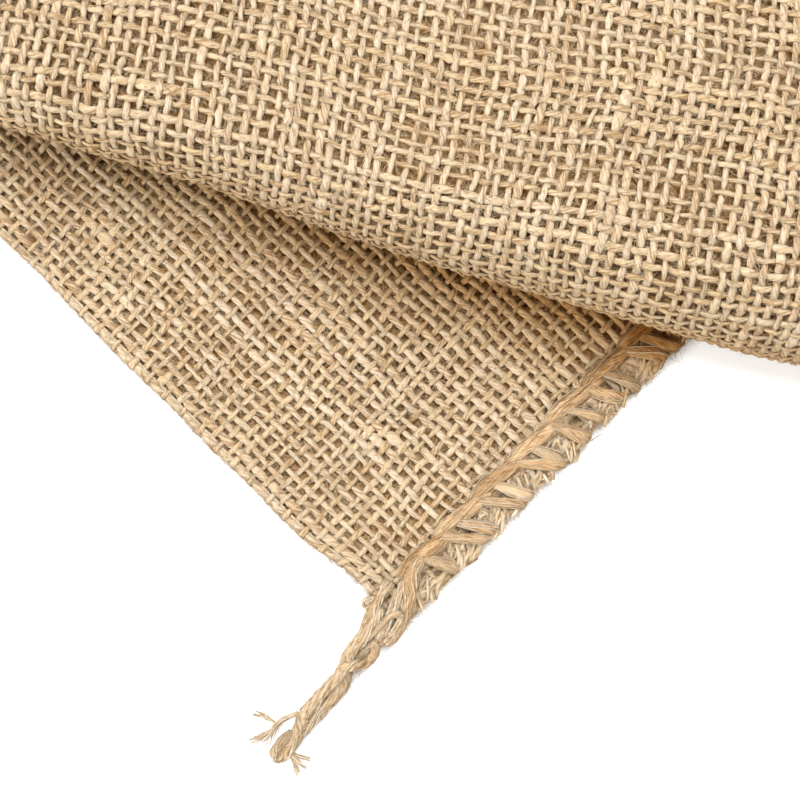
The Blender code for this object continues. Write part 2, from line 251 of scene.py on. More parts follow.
def wrap(w, q, h):
    """From the unrolled cloth (w, q, h) to the flat sack (p, q, d)."""
    reach = np.abs(w)
    quarter = np.pi / 2 * WEAVE_OFFSET
    angle = np.minimum(reach / WEAVE_OFFSET, np.pi / 2)
    offset = WEAVE_OFFSET + h
    p = WEAVE_OFFSET - offset * np.cos(angle) + np.maximum(reach - quarter, 0)
    drawn = DRAWN_IN * np.exp(-((q / DRAWN_REACH) ** 2)) + np.interp(q, *zip(*FOLDED_SIDE))
    p = p + drawn * np.exp(-reach / DRAWN_REACH)
    return p, q, np.sign(w) * offset * np.sin(angle)


side_middle = wrap(np.array([0.0]), np.array([97.0]), np.array([0.0]))
print("folded side drawn in to p", round(float(side_middle[0][0]), 2), "at q 97")

# %% [markdown]
# ## Materials
#
# Jute is pale straw to golden brown. Each yarn is a loose twist of long fibres, so its colour
# and its surface run in fine streaks that lean across the yarn. Two materials use them, so
# the streaks are one shared node group. A small helper keeps the node trees short: it makes a
# node and sets its properties, and the values of its inputs, by name.

# %% A node with its settings
def add(tree, kind, **settings):
    """A new node with some of its settings and inputs."""
    node = tree.nodes.new(kind)
    for name, value in settings.items():
        if hasattr(node, name):
            setattr(node, name, value)
        else:
            node.inputs[name.replace("_", " ")].default_value = value
    return node


print("kinds of shader node", sum(kind.startswith("ShaderNode") for kind in dir(bpy.types)))

# %% [markdown]
# The group reads a yarn's own coordinates from the "yarn" UV map, which is in millimetres:
# X runs along the yarn and Y round it. Stretched along the yarn, a noise turns into streaks.
# There are two, a coarse one for the plies of the twist and a fine one for single fibres.

# %% Fibre streaks
STREAK_LEAN = 0.35
STREAKS_ALONG_ACROSS = {"Coarse": (0.18, 1.0), "Fine": (0.32, 3.0)}


def streak_group():
    """Streaks along the fibres of a twisted yarn, from its own coordinates in millimetres."""
    group = bpy.data.node_groups.new("fibre_streaks", "ShaderNodeTree")
    face = group.interface
    lean_socket = face.new_socket("Lean", in_out="INPUT", socket_type="NodeSocketFloat")
    lean_socket.default_value = STREAK_LEAN
    for name in STREAKS_ALONG_ACROSS:
        face.new_socket(name, in_out="OUTPUT", socket_type="NodeSocketFloat")
    into = group.nodes.new("NodeGroupInput")
    out = group.nodes.new("NodeGroupOutput")
    uv = add(group, "ShaderNodeUVMap", uv_map="yarn")
    split = group.nodes.new("ShaderNodeSeparateXYZ")
    group.links.new(uv.outputs[0], split.inputs[0])
    lean = add(group, "ShaderNodeMath", operation="MULTIPLY")
    group.links.new(split.outputs["X"], lean.inputs[0])
    group.links.new(into.outputs["Lean"], lean.inputs[1])
    shifted = add(group, "ShaderNodeMath", operation="ADD")
    group.links.new(lean.outputs[0], shifted.inputs[0])
    group.links.new(split.outputs["Y"], shifted.inputs[1])
    for name, (along, across) in STREAKS_ALONG_ACROSS.items():
        stretched = [add(group, "ShaderNodeMath", operation="MULTIPLY") for _ in range(2)]
        group.links.new(split.outputs["X"], stretched[0].inputs[0])
        stretched[0].inputs[1].default_value = along
        group.links.new(shifted.outputs[0], stretched[1].inputs[0])
        stretched[1].inputs[1].default_value = across
        joined = group.nodes.new("ShaderNodeCombineXYZ")
        group.links.new(stretched[0].outputs[0], joined.inputs["X"])
        group.links.new(stretched[1].outputs[0], joined.inputs["Y"])
        noise = add(group, "ShaderNodeTexNoise", Scale=1.0, Detail=3.0, Roughness=0.7)
        group.links.new(joined.outputs[0], noise.inputs["Vector"])
        group.links.new(noise.outputs["Fac"], out.inputs[name])
    return group


STREAKS = streak_group()
print("streak outputs", [s.name for s in STREAKS.interface.items_tree if s.in_out == "OUTPUT"])

# %% [markdown]
# Two steps come back in the material more than once: a value plus a share of another, and a
# colour multiplied by a share of a tone. Each is one node, and the helper that makes it gives
# back the socket to go on from.

# %% Sums and multiplied colours
def scaled_sum(tree, first, second, share):
    """A socket that carries the first plus a share of the second."""
    node = add(tree, "ShaderNodeMath", operation="MULTIPLY_ADD")
    tree.links.new(second, node.inputs[0])
    node.inputs[1].default_value = share
    tree.links.new(first, node.inputs[2])
    return node.outputs[0]


def multiplied(tree, colour, tone, share):
    """A socket that carries a colour multiplied by a share of a tone."""
    node = add(tree, "ShaderNodeMix", data_type="RGBA", blend_type="MULTIPLY")
    tree.links.new(share, node.inputs["Factor"])
    tree.links.new(colour, node.inputs["A"])
    node.inputs["B"].default_value = (*tone, 1.0)
    return node.outputs["Result"]


print("kinds of mix", [item.identifier for item in
                       bpy.types.ShaderNodeMix.bl_rna.properties["data_type"].enum_items])

# %% [markdown]
# The material lays three tones over the streaks, from the dark between fibres to their pale
# backs. No two yarns are alike, so each mesh also carries a colour attribute named "tint":
# red says how pale its yarn is, green how golden, and blue how much painted shade it gets,
# deep in the cloth and in the front fold's shade, painted as a warm brown. The same brown, in
# full, colours the few dark specks of bark. Jute is matt, and a little light goes through it.

# %% Jute material
# The warm brown of painted shade; in full it is also the bark specks' own colour.
SHADE_AND_BARK_TONE = (0.80, 0.48, 0.15)
TONE_PLACES = (0.12, 0.46, 0.88)
TONE_SHIFT, COARSE_SHARE, FINE_SHARE = -1.75, 1.2, 2.2
FIBRE_HEIGHT = 0.0005
JUTE_SURFACE = {"Roughness": 0.78, "Specular IOR Level": 0.04, "Subsurface Weight": 0.15,
                "Subsurface Radius": (1.0, 0.65, 0.40), "Subsurface Scale": 0.0005}


def jute(name, tones, golden, relief):
    """A jute yarn: three tones from its streaks, golden where its attribute says so."""
    material = bpy.data.materials.new(name)
    material.use_nodes = True
    tree = material.node_tree
    shader = tree.nodes["Principled BSDF"]
    for socket, value in JUTE_SURFACE.items():
        shader.inputs[socket].default_value = value
    streaks = tree.nodes.new("ShaderNodeGroup")
    streaks.node_tree = STREAKS
    streaks.inputs["Lean"].default_value = STREAK_LEAN
    coarse, fine = streaks.outputs["Coarse"], streaks.outputs["Fine"]
    yarn = add(tree, "ShaderNodeAttribute", attribute_name="tint")
    split = tree.nodes.new("ShaderNodeSeparateColor")
    tree.links.new(yarn.outputs["Color"], split.inputs[0])
    level = add(tree, "ShaderNodeMath", operation="ADD")
    level.inputs[1].default_value = TONE_SHIFT
    tree.links.new(split.outputs["Red"], level.inputs[0])
    level = scaled_sum(tree, level.outputs[0], coarse, COARSE_SHARE)
    level = scaled_sum(tree, level, fine, FINE_SHARE)
    ramp = tree.nodes.new("ShaderNodeValToRGB")
    tree.links.new(level, ramp.inputs[0])
    ramp.color_ramp.elements.new(TONE_PLACES[1])
    for stop, tone, place in zip(ramp.color_ramp.elements, tones, TONE_PLACES):
        stop.color = (*tone, 1.0)
        stop.position = place
    gilded = multiplied(tree, ramp.outputs["Color"], golden, split.outputs["Green"])
    # The tint's blue mixes in painted shade, a warm brown, which also colours the bark specks.
    shade_and_bark_colour = multiplied(tree, gilded, SHADE_AND_BARK_TONE, split.outputs["Blue"])
    tree.links.new(shade_and_bark_colour, shader.inputs["Base Color"])
    bump = add(tree, "ShaderNodeBump", Strength=relief, Distance=FIBRE_HEIGHT)
    tree.links.new(scaled_sum(tree, fine, coarse, COARSE_SHARE), bump.inputs["Height"])
    tree.links.new(bump.outputs["Normal"], shader.inputs["Normal"])
    return material


print("the three tones lie at", TONE_PLACES, "of the streaks' level")

# %% [markdown]
# The cloth's yarn is spun from paler jute than the sewing twine, which is thick, soft and
# rather more golden, so each has its own tones.

# %% Hessian and twine
HESSIAN = jute("hessian", ((0.20, 0.127, 0.068), (0.344, 0.272, 0.190), (0.384, 0.329, 0.253)),
               golden=(0.98, 0.905, 0.725), relief=0.8)
TWINE = jute("twine", ((0.165, 0.095, 0.045), (0.345, 0.267, 0.175), (0.48, 0.405, 0.315)),
             golden=(1.0, 0.87, 0.66), relief=0.9)
print("materials", HESSIAN.name, TWINE.name)

# %% [markdown]
# ## From yarns to meshes
#
# Every yarn, strand and hair is a row of rings in the coordinates of the unrolled cloth or of
# the flat sack. Curve objects could draw them, but thousands of those are slow and have no
# UV map in millimetres, so whole sets of yarns are worked out at once as arrays.
#
# The first helpers shape the rings: a smooth curve through given points, and two kinds of
# soft randomness, one that changes along each row and one that changes over a plane.

# %% Smooth curves and soft noise
def refine(values, steps):
    """A smooth curve through the values along axis 1, with steps to each interval."""
    if steps == 1:
        return values.copy()
    first = 2 * values[:, :1] - values[:, 1:2]
    last = 2 * values[:, -1:] - values[:, -2:-1]
    padded = np.concatenate([first, values, last], axis=1)[..., None]
    a, b, c, e = padded[:, :-3], padded[:, 1:-2], padded[:, 2:-1], padded[:, 3:]
    t = np.arange(steps) / steps
    curve = b + 0.5 * t * (c - a + t * (2 * a - 5 * b + 4 * c - e + t * (3 * (b - c) + e - a)))
    return np.concatenate([curve.reshape(len(values), -1), values[:, -1:]], axis=1)


def wander(rng, rows, length, reach):
    """Soft random rows of about unit size that change over some reach of steps."""
    steps = np.arange(-3 * reach, 3 * reach + 1)
    kernel = np.exp(-0.5 * (steps / reach) ** 2)
    kernel /= np.sqrt((kernel ** 2).sum())
    raw = rng.standard_normal((rows, length + len(kernel) - 1))
    return np.stack([np.convolve(row, kernel, "valid") for row in raw])


def ripple(rng, x, y, length, waves=7):
    """A soft field of about unit size over a plane, from a few crossing waves."""
    total = np.zeros_like(x)
    for _ in range(waves):
        heading, phase = rng.uniform(0, 2 * np.pi, 2)
        wave = 2 * np.pi / (length * rng.uniform(0.7, 1.5))
        total += np.cos(wave * (x * np.cos(heading) + y * np.sin(heading)) + phase)
    return total * math.sqrt(2 / waves)


print("a smooth bump", refine(np.array([[0.0, 1.0, 0.0]]), 2)[0].tolist())

# %% [markdown]
# The next helper joins rings into a skin of quads. A flat ribbon has two points to a ring and
# stays open; a round yarn has more and is closed. Only the steps that are wanted become
# quads, so one set of yarns can be fine in one place and coarse in another.

# %% Skins over rings
def skin(points, keep, along, girth, tint, closed):
    """Quads over rings (yarn, ring, point, xyz), for the steps between rings in keep.

    along is the length at each ring, girth the distance round a ring, and tint the colour
    attribute of each ring.
    """
    _, rings, sides, _ = points.shape
    y, r = np.nonzero(keep)
    spans = sides if closed else sides - 1
    k = np.arange(spans)
    base = (y * rings + r)[:, None] * sides
    after = base + sides
    ahead = (k + 1) % sides
    quads = np.stack([base + k, base + ahead, after + ahead, after + k], axis=-1).reshape(-1, 4)
    start, end = along[y, r][:, None], along[y, r + 1][:, None]
    low, high = k / spans * girth, (k + 1) / spans * girth
    ones = np.ones((1, spans))
    u = np.stack([start * ones, start * ones, end * ones, end * ones], axis=-1)
    v = np.stack([low, high, high, low], axis=-1)[None] * np.ones((len(y), 1, 1))
    uv = np.stack([u, v], axis=-1).reshape(-1, 2)
    used, corners = np.unique(quads, return_inverse=True)
    colours = np.repeat(tint.reshape(-1, tint.shape[-1]), sides, axis=0)[used]
    return points.reshape(-1, 3)[used], corners.reshape(-1, 4), uv, colours


one_step = skin(np.zeros((1, 2, 6, 3)), np.ones((1, 1), bool), np.zeros((1, 2)), 1.0,
                np.zeros((1, 2, 3)), True)
print("one step of a six-sided yarn is", len(one_step[1]), "quads")

# %% [markdown]
# The last helper makes one object of many skins. Filling a mesh's arrays in one go is hundreds
# of times quicker than adding its faces one by one. The object rides on the sack's only body
# and has one material.

# %% Pieces from skins
def piece(name, skins, material):
    """One object from several skins, riding on the sack."""
    offsets = np.cumsum([0] + [len(part[0]) for part in skins[:-1]])
    verts = np.concatenate([part[0] for part in skins])
    quads = np.concatenate([part[1] + offset for part, offset in zip(skins, offsets)])
    mesh = bpy.data.meshes.new(name)
    mesh.vertices.add(len(verts))
    mesh.vertices.foreach_set("co", verts.astype(np.float32).ravel())
    mesh.loops.add(quads.size)
    mesh.loops.foreach_set("vertex_index", quads.astype(np.int32).ravel())
    mesh.polygons.add(len(quads))
    mesh.polygons.foreach_set("loop_start", np.arange(0, quads.size, 4, dtype=np.int32))
    mesh.update(calc_edges=True)
    uv = np.concatenate([part[2] for part in skins]).astype(np.float32)
    mesh.uv_layers.new(name="yarn").data.foreach_set("uv", uv.ravel())
    tint = np.concatenate([part[3] for part in skins])
    tint = np.concatenate([tint, np.ones((len(tint), 4 - tint.shape[1]))], axis=1)
    layer = mesh.color_attributes.new("tint", "FLOAT_COLOR", "POINT")
    layer.data.foreach_set("color", tint.astype(np.float32).ravel())
    mesh.shade_smooth()
    mesh.materials.append(material)
    thing = bpy.data.objects.new(name, mesh)
    bpy.context.scene.collection.objects.link(thing)
    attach(thing, "root")
    print(name, len(quads) * 2, "triangles")
    return thing

# %% [markdown]
# ## The weave
#
# Every crossing of a lengthwise and a crosswise yarn is one node of a grid on the unrolled
# cloth, which goes from the lower ply round the folded side onto the upper ply. Hessian has
# about eleven yarns to the inch. It is loosely and unevenly woven, so whole yarns stray,
# neighbours stray together, and each crossing strays a little by itself. The yarns beside the
# folded side are held straighter.

# %% Uneven grid of crossings
PITCH = 2.3
COLUMNS, ROWS = 174, 260
FIRST_ROW = 1.2
WIDE_STRAY, WIDE_STRAY_LENGTH = 0.30, 55.0
NEAR_STRAY, NEAR_STRAY_LENGTH = 0.16, 17.0
YARN_STRAY, YARN_WANDER, NODE_STRAY = 0.14, 0.13, 0.07
SIDE_STRAY, SIDE_REACH = 0.2, 6.0

rng = np.random.default_rng(20)
column = (np.arange(-COLUMNS, COLUMNS) + 0.5) * PITCH
row = FIRST_ROW + np.arange(ROWS) * PITCH
grid_w, grid_q = np.meshgrid(column, row, indexing="ij")


def stray():
    """How far the crossings are off the even grid, in whole areas of the cloth."""
    wide = WIDE_STRAY * ripple(rng, grid_w, grid_q, WIDE_STRAY_LENGTH)
    return wide + NEAR_STRAY * ripple(rng, grid_w, grid_q, NEAR_STRAY_LENGTH)


shift_w, shift_q = stray(), stray()
shift_w += YARN_STRAY * rng.standard_normal((2 * COLUMNS, 1))
shift_w += YARN_WANDER * wander(rng, 2 * COLUMNS, ROWS, 3)
shift_q += YARN_STRAY * rng.standard_normal((1, ROWS))
shift_q += YARN_WANDER * wander(rng, ROWS, 2 * COLUMNS, 3).T
shift_w += NODE_STRAY * rng.standard_normal(grid_w.shape)
shift_q += NODE_STRAY * rng.standard_normal(grid_w.shape)
shift_w *= ease((np.abs(grid_w) - 0.5) / SIDE_REACH) * (1 - SIDE_STRAY) + SIDE_STRAY
print("crossings", grid_w.size, "mean stray", round(float(np.abs(shift_w).mean()), 2), "mm")

# %% [markdown]
# Sewing disturbs the weave. The needle line pulls the lengthwise yarns together at each
# stitch, the yarns between it and the cut edge come loose, and at the corner the last
# stitches gather the cloth.

# %% Weave drawn by the sewing
STITCH, FIRST_STITCH = 10.0, 1.6
NEEDLE_LINE = 7.3
PULL, PULL_REACH, PULL_START = 0.55, 3.0, 1.0
LOOSE_W, LOOSE_Q, LOOSE_REACH = 0.45, 0.60, 3.0
GATHER, GATHER_W, GATHER_Q, GATHER_REACH = 0.22, 6.0, 5.0, 13.0

pull = np.exp(-np.maximum(grid_q - NEEDLE_LINE, 0) / PULL_REACH)
turns_on = (np.abs(grid_w) - FIRST_STITCH - PULL_START) / STITCH
shift_w += PULL * pull * np.sin(2 * np.pi * turns_on)
loose = ease((NEEDLE_LINE - grid_q) / LOOSE_REACH)
shift_w += LOOSE_W * loose * rng.standard_normal(grid_w.shape)
shift_q += LOOSE_Q * loose * rng.standard_normal(grid_w.shape)
grid_w += shift_w
grid_q += shift_q
off_gather = (grid_w - GATHER_W) ** 2 + (grid_q - GATHER_Q) ** 2
gather = GATHER * np.exp(-off_gather / GATHER_REACH ** 2) * ease(grid_w / 3.0)
grid_w -= gather * (grid_w - GATHER_W)
grid_q -= gather * (grid_q - GATHER_Q)
parity = 1.0 - 2.0 * ((np.arange(2 * COLUMNS)[:, None] + np.arange(ROWS)[None, :]) % 2)
print("loose crossings", int((loose > 0.5).sum()), "gathered", int((gather > 0.05).sum()))

# %% [markdown]
# The open weave swallows light under the front fold and on the fold's own underside. Real
# shade there is deepened by light that bounces from yarn to yarn and turns brown. A mask does
# the last part: it goes into the tints, and the lamps still cast the shadow itself.

# %% Shade of the front fold
SHELTER_EDGE, SHELTER_REACH = -1.0, 7.2
SHELTER_START, SHELTER_RUN, SHELTER_LEAST = 70.0, 130.0, 0.3
UNDERSIDE_SHADE, UNDERSIDE_TURN = 0.6, 0.7


def shelter(p, q):
    """How much the front fold shades points of the sack, from 0 to 1."""
    along, (_, _, _, vertical, s, past_front) = pleat(p, q)
    beneath = np.exp(np.minimum(past_front - SHELTER_EDGE, 0) / SHELTER_REACH)
    beneath *= np.clip((along - SHELTER_START) / SHELTER_RUN, SHELTER_LEAST, 1)
    underside = UNDERSIDE_SHADE * np.clip(UNDERSIDE_TURN - vertical, 0, 1)
    return np.where(s <= 0, beneath, underside)


p, q, d = wrap(grid_w, grid_q, np.zeros_like(grid_w))
sheltered = shelter(p, q)
print("crossings in deep shade", int((sheltered > 0.5).sum()))

# %% [markdown]
# A million triangles can't make every yarn of the sack round. Yarns near the camera's corner
# are modelled round and in fine steps; the rest of the cloth, and what is folded out of
# sight, is woven from flat ribbons with one step to a crossing. This cell folds the grid and
# finds which crossings lie in the camera's view and in the open.

# %% Where the weave is fine
VIEW_MARGIN = 1.02
FLAP_PAST_FRONT = 7.0
TOP_PAST_FRONT, TOP_TURN, TOP_HEIGHT = -1.0, -0.35, 7.5
ROUND_THE_SIDE = -3.0
BEHIND_FROM = 4.0

place = fold(p, q, d) / MM
_, (_, _, _, vertical, s, past_front) = pleat(p, q)
eye = np.array(CAMERA_PLACE) / MM
ray = place - eye
right = ray[..., 0] * math.cos(CAMERA_TURN) + ray[..., 1] * math.sin(CAMERA_TURN)
upward = -ray[..., 0] * math.sin(CAMERA_TURN) + ray[..., 1] * math.cos(CAMERA_TURN)
half_view = VIEW_WIDTH / MM / 2 / eye[2]
in_view = np.maximum(np.abs(right), np.abs(upward)) < -ray[..., 2] * half_view * VIEW_MARGIN
open_flap = (s <= 0) & (past_front < FLAP_PAST_FRONT)
open_top = (s > 0) & (vertical > TOP_TURN) & (past_front > TOP_PAST_FRONT)
open_top &= place[..., 2] > TOP_HEIGHT
on_upper = grid_w > ROUND_THE_SIDE
fine_flap = in_view & open_flap & on_upper
fine_top = in_view & open_top & on_upper
behind = in_view & (open_flap | open_top) & ~on_upper & (grid_q > BEHIND_FROM)
print("fine crossings", int(fine_flap.sum()), int(fine_top.sum()), "behind", int(behind.sum()))

# %% [markdown]
# ## The yarns
#
# Hand-fed jute spins into yarn that is never even. It swells and thins over a few crossings,
# it has slubs, which are short thick places that close the holes beside them, and its colour
# changes from bale to bale. Where several slubs lie together they felt into a pale patch. A
# row of the table is such a patch: lengthwise yarn, crosswise yarn and size.

# %% Character of the yarns
FELTED = ((181, 41, 0.45), (180, 40, 0.5), (181, 36, 0.4), (177, 35, 0.45), (177, 38, 0.4),
          (184, 12, 0.45), (184, 11, 0.4), (251, 90, 0.4), (251, 88, 0.4))
LENGTHWISE = {"half_width": 0.68, "half_thick": 0.33, "lift": 0.22, "golden": 0.15}
CROSSWISE = {"half_width": 0.56, "half_thick": 0.30, "lift": 0.27, "golden": 0.54}
CROSSINGS_TO_A_SLUB, SLUB_REACH, SLUB_SIZE = 430, (1.0, 2.4), (0.3, 0.95)
THINNEST, THICKEST = 0.66, 1.5
YARN_WIDTH, SLOW_WIDTH, QUICK_WIDTH = 0.12, 0.10, 0.07
MEAN_PALE, YARN_PALE, SLOW_PALE, NODE_PALE, SLUB_PALE = 0.50, 0.05, 0.05, 0.03, 0.09
YARN_GOLD, SLOW_GOLD = 0.14, 0.09


def slub_sizes(rng, count, length, felted):
    """How much thicker each yarn is at each crossing, for its slubs and felted places."""
    slubs = np.zeros((count, length))
    for _ in range(int(count * length / CROSSINGS_TO_A_SLUB)):
        y, at = rng.integers(count), rng.integers(length)
        reach = rng.uniform(*SLUB_REACH)
        slub = np.exp(-(((np.arange(length) - at) / reach) ** 2))
        slubs[y] += rng.uniform(*SLUB_SIZE) * slub
    for y, at, size in felted:
        reach = np.hypot(np.arange(count)[:, None] - y, (np.arange(length) - at) / 1.4)
        slubs += size * np.exp(-(reach ** 2))
    return slubs


def character(rng, count, length, felted):
    """Width, slubs, paleness and gold of each yarn at each crossing."""
    wide = 1 + YARN_WIDTH * rng.standard_normal((count, 1))
    wide = wide + SLOW_WIDTH * wander(rng, count, length, 4)
    wide += QUICK_WIDTH * wander(rng, count, length, 1)
    slubs = slub_sizes(rng, count, length, felted)
    pale = YARN_PALE * rng.standard_normal((count, 1))
    pale = pale + SLOW_PALE * wander(rng, count, length, 5)
    pale = MEAN_PALE + pale + NODE_PALE * rng.standard_normal((count, length))
    pale += SLUB_PALE * slubs
    gold = YARN_GOLD * rng.standard_normal((count, 1))
    gold = gold + SLOW_GOLD * wander(rng, count, length, 7)
    return np.clip(wide, THINNEST, THICKEST) + slubs, slubs, pale, gold


turned = [(at, y, size) for y, at, size in FELTED]
traits = {"length": character(rng, 2 * COLUMNS, ROWS, FELTED),
          "cross": character(rng, ROWS, 2 * COLUMNS, turned)}
print("widest slub", round(float(traits["length"][1].max()), 2))

# %% [markdown]
# A ring has two points for a flat ribbon and more for a round yarn. The ribbon lies a little
# above the yarn's middle, where the top of a round yarn would be seen.

# %% Rings of a yarn
RIBBON_HEIGHT = 0.6


def ring_shape(sides):
    """A ring's points, across and up: a raised ribbon or a round yarn."""
    if sides == 2:
        return np.array([[-1.0, RIBBON_HEIGHT], [1.0, RIBBON_HEIGHT]])
    turn = -np.pi / 2 + 2 * np.pi * np.arange(sides) / sides
    return np.stack([np.cos(turn), np.sin(turn)], axis=-1)


print("ribbon", ring_shape(2).tolist(), "round", np.round(ring_shape(4), 1).tolist())

# %% [markdown]
# One function weaves each set of yarns, with the grid turned for the crosswise set. A yarn
# rises over one crossing and dips under the next, and the other set does the opposite, which
# is all that a plain weave is. A cosine between the crossings gives the yarn its easy bend.
# Round yarns are roughened a little from ring to ring, so that they don't look like cord.

# %% Weaving a set of yarns
ROUGH_WIDTH, ROUGH_PLACE = 0.10, 0.05
SWELL_ON_TOP, SLUB_FLATTENS = 0.05, 0.30
ROUND_GIRTH, RIBBON_GIRTH = 3.1, 1.4
YARN_UV_STEP = 37.0
SHADE_GOLD, SHADE_DEPTH = 0.9, 0.65


def weave(group, steps, sides, crosswise, wide_by, deep):
    """The skin of one set of yarns between the crossings of a group.

    deep is how much painted shade the yarns get, and how much more where they dip under the
    other set.
    """
    kind = CROSSWISE if crosswise else LENGTHWISE
    wide, slubs, pale, gold = traits["cross" if crosswise else "length"]
    w, q, sign, dim = grid_w, grid_q, -parity if crosswise else parity, sheltered
    if crosswise:
        w, q, sign, dim, group = w.T, q.T, sign.T, dim.T, group.T
    keep = group[:, :-1] & group[:, 1:]
    lines = np.nonzero(keep.any(axis=1))[0]
    nodes = np.nonzero(keep.any(axis=0))[0]
    span = slice(nodes[0], nodes[-1] + 2)
    keep = keep[lines, nodes[0]:nodes[-1] + 1]
    w, q, wide, slubs, pale, gold, dim = (
        refine(values[lines, span], steps) for values in (w, q, wide, slubs, pale, gold, dim))
    phase = np.cos(np.pi * np.arange(steps) / steps)
    lift = sign[lines, span][..., None] * phase
    lift = np.concatenate([lift[:, :-1].reshape(len(lines), -1), lift[:, -1, :1]], axis=1)
    half = kind["half_width"] * wide * (1 + SWELL_ON_TOP * lift) * wide_by
    if sides > 2:
        rough = np.random.default_rng(7).standard_normal((3, *half.shape))
        half = half * (1 + ROUGH_WIDTH * rough[0])
        w, q = w + ROUGH_PLACE * rough[1], q + ROUGH_PLACE * rough[2]
    thin = kind["half_thick"] * (1 - SLUB_FLATTENS * slubs)
    step_w, step_q = np.gradient(w, axis=1), np.gradient(q, axis=1)
    length = np.hypot(step_w, step_q)
    ring = ring_shape(sides)
    side_w = (-step_q / length * half)[..., None] * ring[:, 0]
    side_q = (step_w / length * half)[..., None] * ring[:, 0]
    h = (kind["lift"] * lift)[..., None] + thin[..., None] * ring[:, 1]
    points = fold(*wrap(w[..., None] + side_w, q[..., None] + side_q, h))
    along = np.arange(w.shape[1]) * PITCH / steps + lines[:, None] * YARN_UV_STEP
    # Painted shade goes into the tint: browner where the yarn dips, and under the front fold
    # more golden, browner and, by deep's first share, darker.
    golden = kind["golden"] + gold + SHADE_GOLD * dim
    painted_shade = deep[0] + deep[1] * ease((1 - lift) / 2) + SHADE_DEPTH * dim
    tint = np.stack([pale - deep[0] * dim, np.clip(golden, 0, 1), np.clip(painted_shade, 0, 1)], axis=-1)
    girth = ROUND_GIRTH if sides > 2 else RIBBON_GIRTH
    return skin(points, np.repeat(keep, steps, axis=1), along, girth, tint, sides > 2)


def whole_weave(group, steps, sides, wide_by=1.0, deep=(0.0, 0.04)):
    """Both sets of yarns over a group of crossings."""
    return [weave(group, steps, sides, crosswise, wide_by, deep) for crosswise in (False, True)]


print("a lengthwise yarn is", round(2 * LENGTHWISE["half_width"], 2), "mm wide")

# %% [markdown]
# The intervals between two groups belong to the coarser one, so that no yarn has a gap. The
# lower ply is only seen through the holes of the upper one. Its ribbons are wider, so that
# the holes show jute and not the floor, and they are widest where the camera looks right
# through. There they are also painted darker and browner, as the shade inside the holes.

# %% Plies of the sack
FINE_STEPS, FINE_SIDES = 4, 6
LOWER_WIDER = 1.35
INNER_WIDER, INNER_SHADE = 2.4, (0.38, 0.45)


def spread(group):
    """A group of crossings and their direct neighbours."""
    wider = group.copy()
    wider[1:] |= group[:-1]
    wider[:-1] |= group[1:]
    wider[:, 1:] |= group[:, :-1]
    wider[:, :-1] |= group[:, 1:]
    return wider


def remove_inner(group, inner):
    """A group that reaches one crossing into the inner group's edge."""
    return group & ~(inner & ~spread(~inner))


fine = fine_flap | fine_top
upper = remove_inner(grid_w > 0, fine)
lower = remove_inner(spread(grid_w < 0), behind | (fine & (grid_w < 0)))
upper_ply = piece("upper_ply", whole_weave(upper, 1, 2), HESSIAN)
lower_ply = piece("lower_ply", whole_weave(lower, 1, 2, LOWER_WIDER), HESSIAN)
flap_skins = whole_weave(fine_flap, FINE_STEPS, FINE_SIDES)
flap_weave = piece("flap_weave", flap_skins, HESSIAN)
front_skins = whole_weave(fine_top, FINE_STEPS, FINE_SIDES)
front_weave = piece("front_weave", front_skins, HESSIAN)
inner_skins = whole_weave(spread(behind), 2, 2, INNER_WIDER, INNER_SHADE)
inner_weave = piece("inner_weave", inner_skins, HESSIAN)
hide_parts("sack_cloth")

# %% [markdown]
# ## The overlock seams
#
# A seam is sewn from three jute threads. Along its inner side runs the needle line: fat
# stitches about a centimetre long, each one lying over the start of the next like the turns
# of a rope. From under every stitch two bars lean outward over the cloth's raw edge, where
# they meet and turn under. Between the pairs the cloth's cut yarns show.
#
# All of it is made of strands, which are tubes along paths on the flat sack. The rings of a
# tube need two directions across the path. These are kept steady from end to end, because
# directions that follow every bend would turn the strand over.

# %% Tubes along paths
STRAND_UV_STEP, GIRTH_TO_RADIUS = 23.0, 10.0
TWINE_SHADE = np.array([-0.22, 0.55, 0.62])


def across(paths):
    """Level and upright directions across paths (strand, ring, pqd), steady along each."""
    step = np.gradient(paths, axis=1)
    step /= np.linalg.norm(step, axis=-1, keepdims=True)
    travel = np.abs(step[..., :2]).sum(axis=1)
    axis = np.where(travel[:, :1] > travel[:, 1:], [0.0, 1.0, 0.0], [1.0, 0.0, 0.0])[:, None]
    side = axis - (axis * step).sum(axis=-1, keepdims=True) * step
    side /= np.linalg.norm(side, axis=-1, keepdims=True)
    return side, np.cross(side, step)


def tubes(paths, radii, sides, tint, flat=1.0):
    """Skins of round strands along paths (strand, ring, pqd) of the flat sack."""
    side, up = across(paths)
    ring = ring_shape(sides)
    ring = side[:, :, None] * ring[:, :1] + up[:, :, None] * ring[:, 1:] * flat
    points = paths[:, :, None] + ring * radii[..., None, None]
    gaps = np.linalg.norm(np.diff(paths, axis=1), axis=-1)
    along = np.concatenate([np.zeros((len(paths), 1)), np.cumsum(gaps, axis=1)], axis=1)
    along = along + np.arange(len(paths))[:, None] * STRAND_UV_STEP
    keep = np.ones(gaps.shape, bool)
    dim = shelter(paths[..., 0], paths[..., 1])[..., None]
    shaded = tint[:, None] + dim * TWINE_SHADE
    shaded[..., 1:] = np.clip(shaded[..., 1:], 0, 1)
    girth = GIRTH_TO_RADIUS * float(radii.mean())
    folded = fold(points[..., 0], points[..., 1], points[..., 2])
    return skin(folded, keep, along, girth, shaded, True)


print("twine in full shade changes its tint by", TWINE_SHADE.tolist())
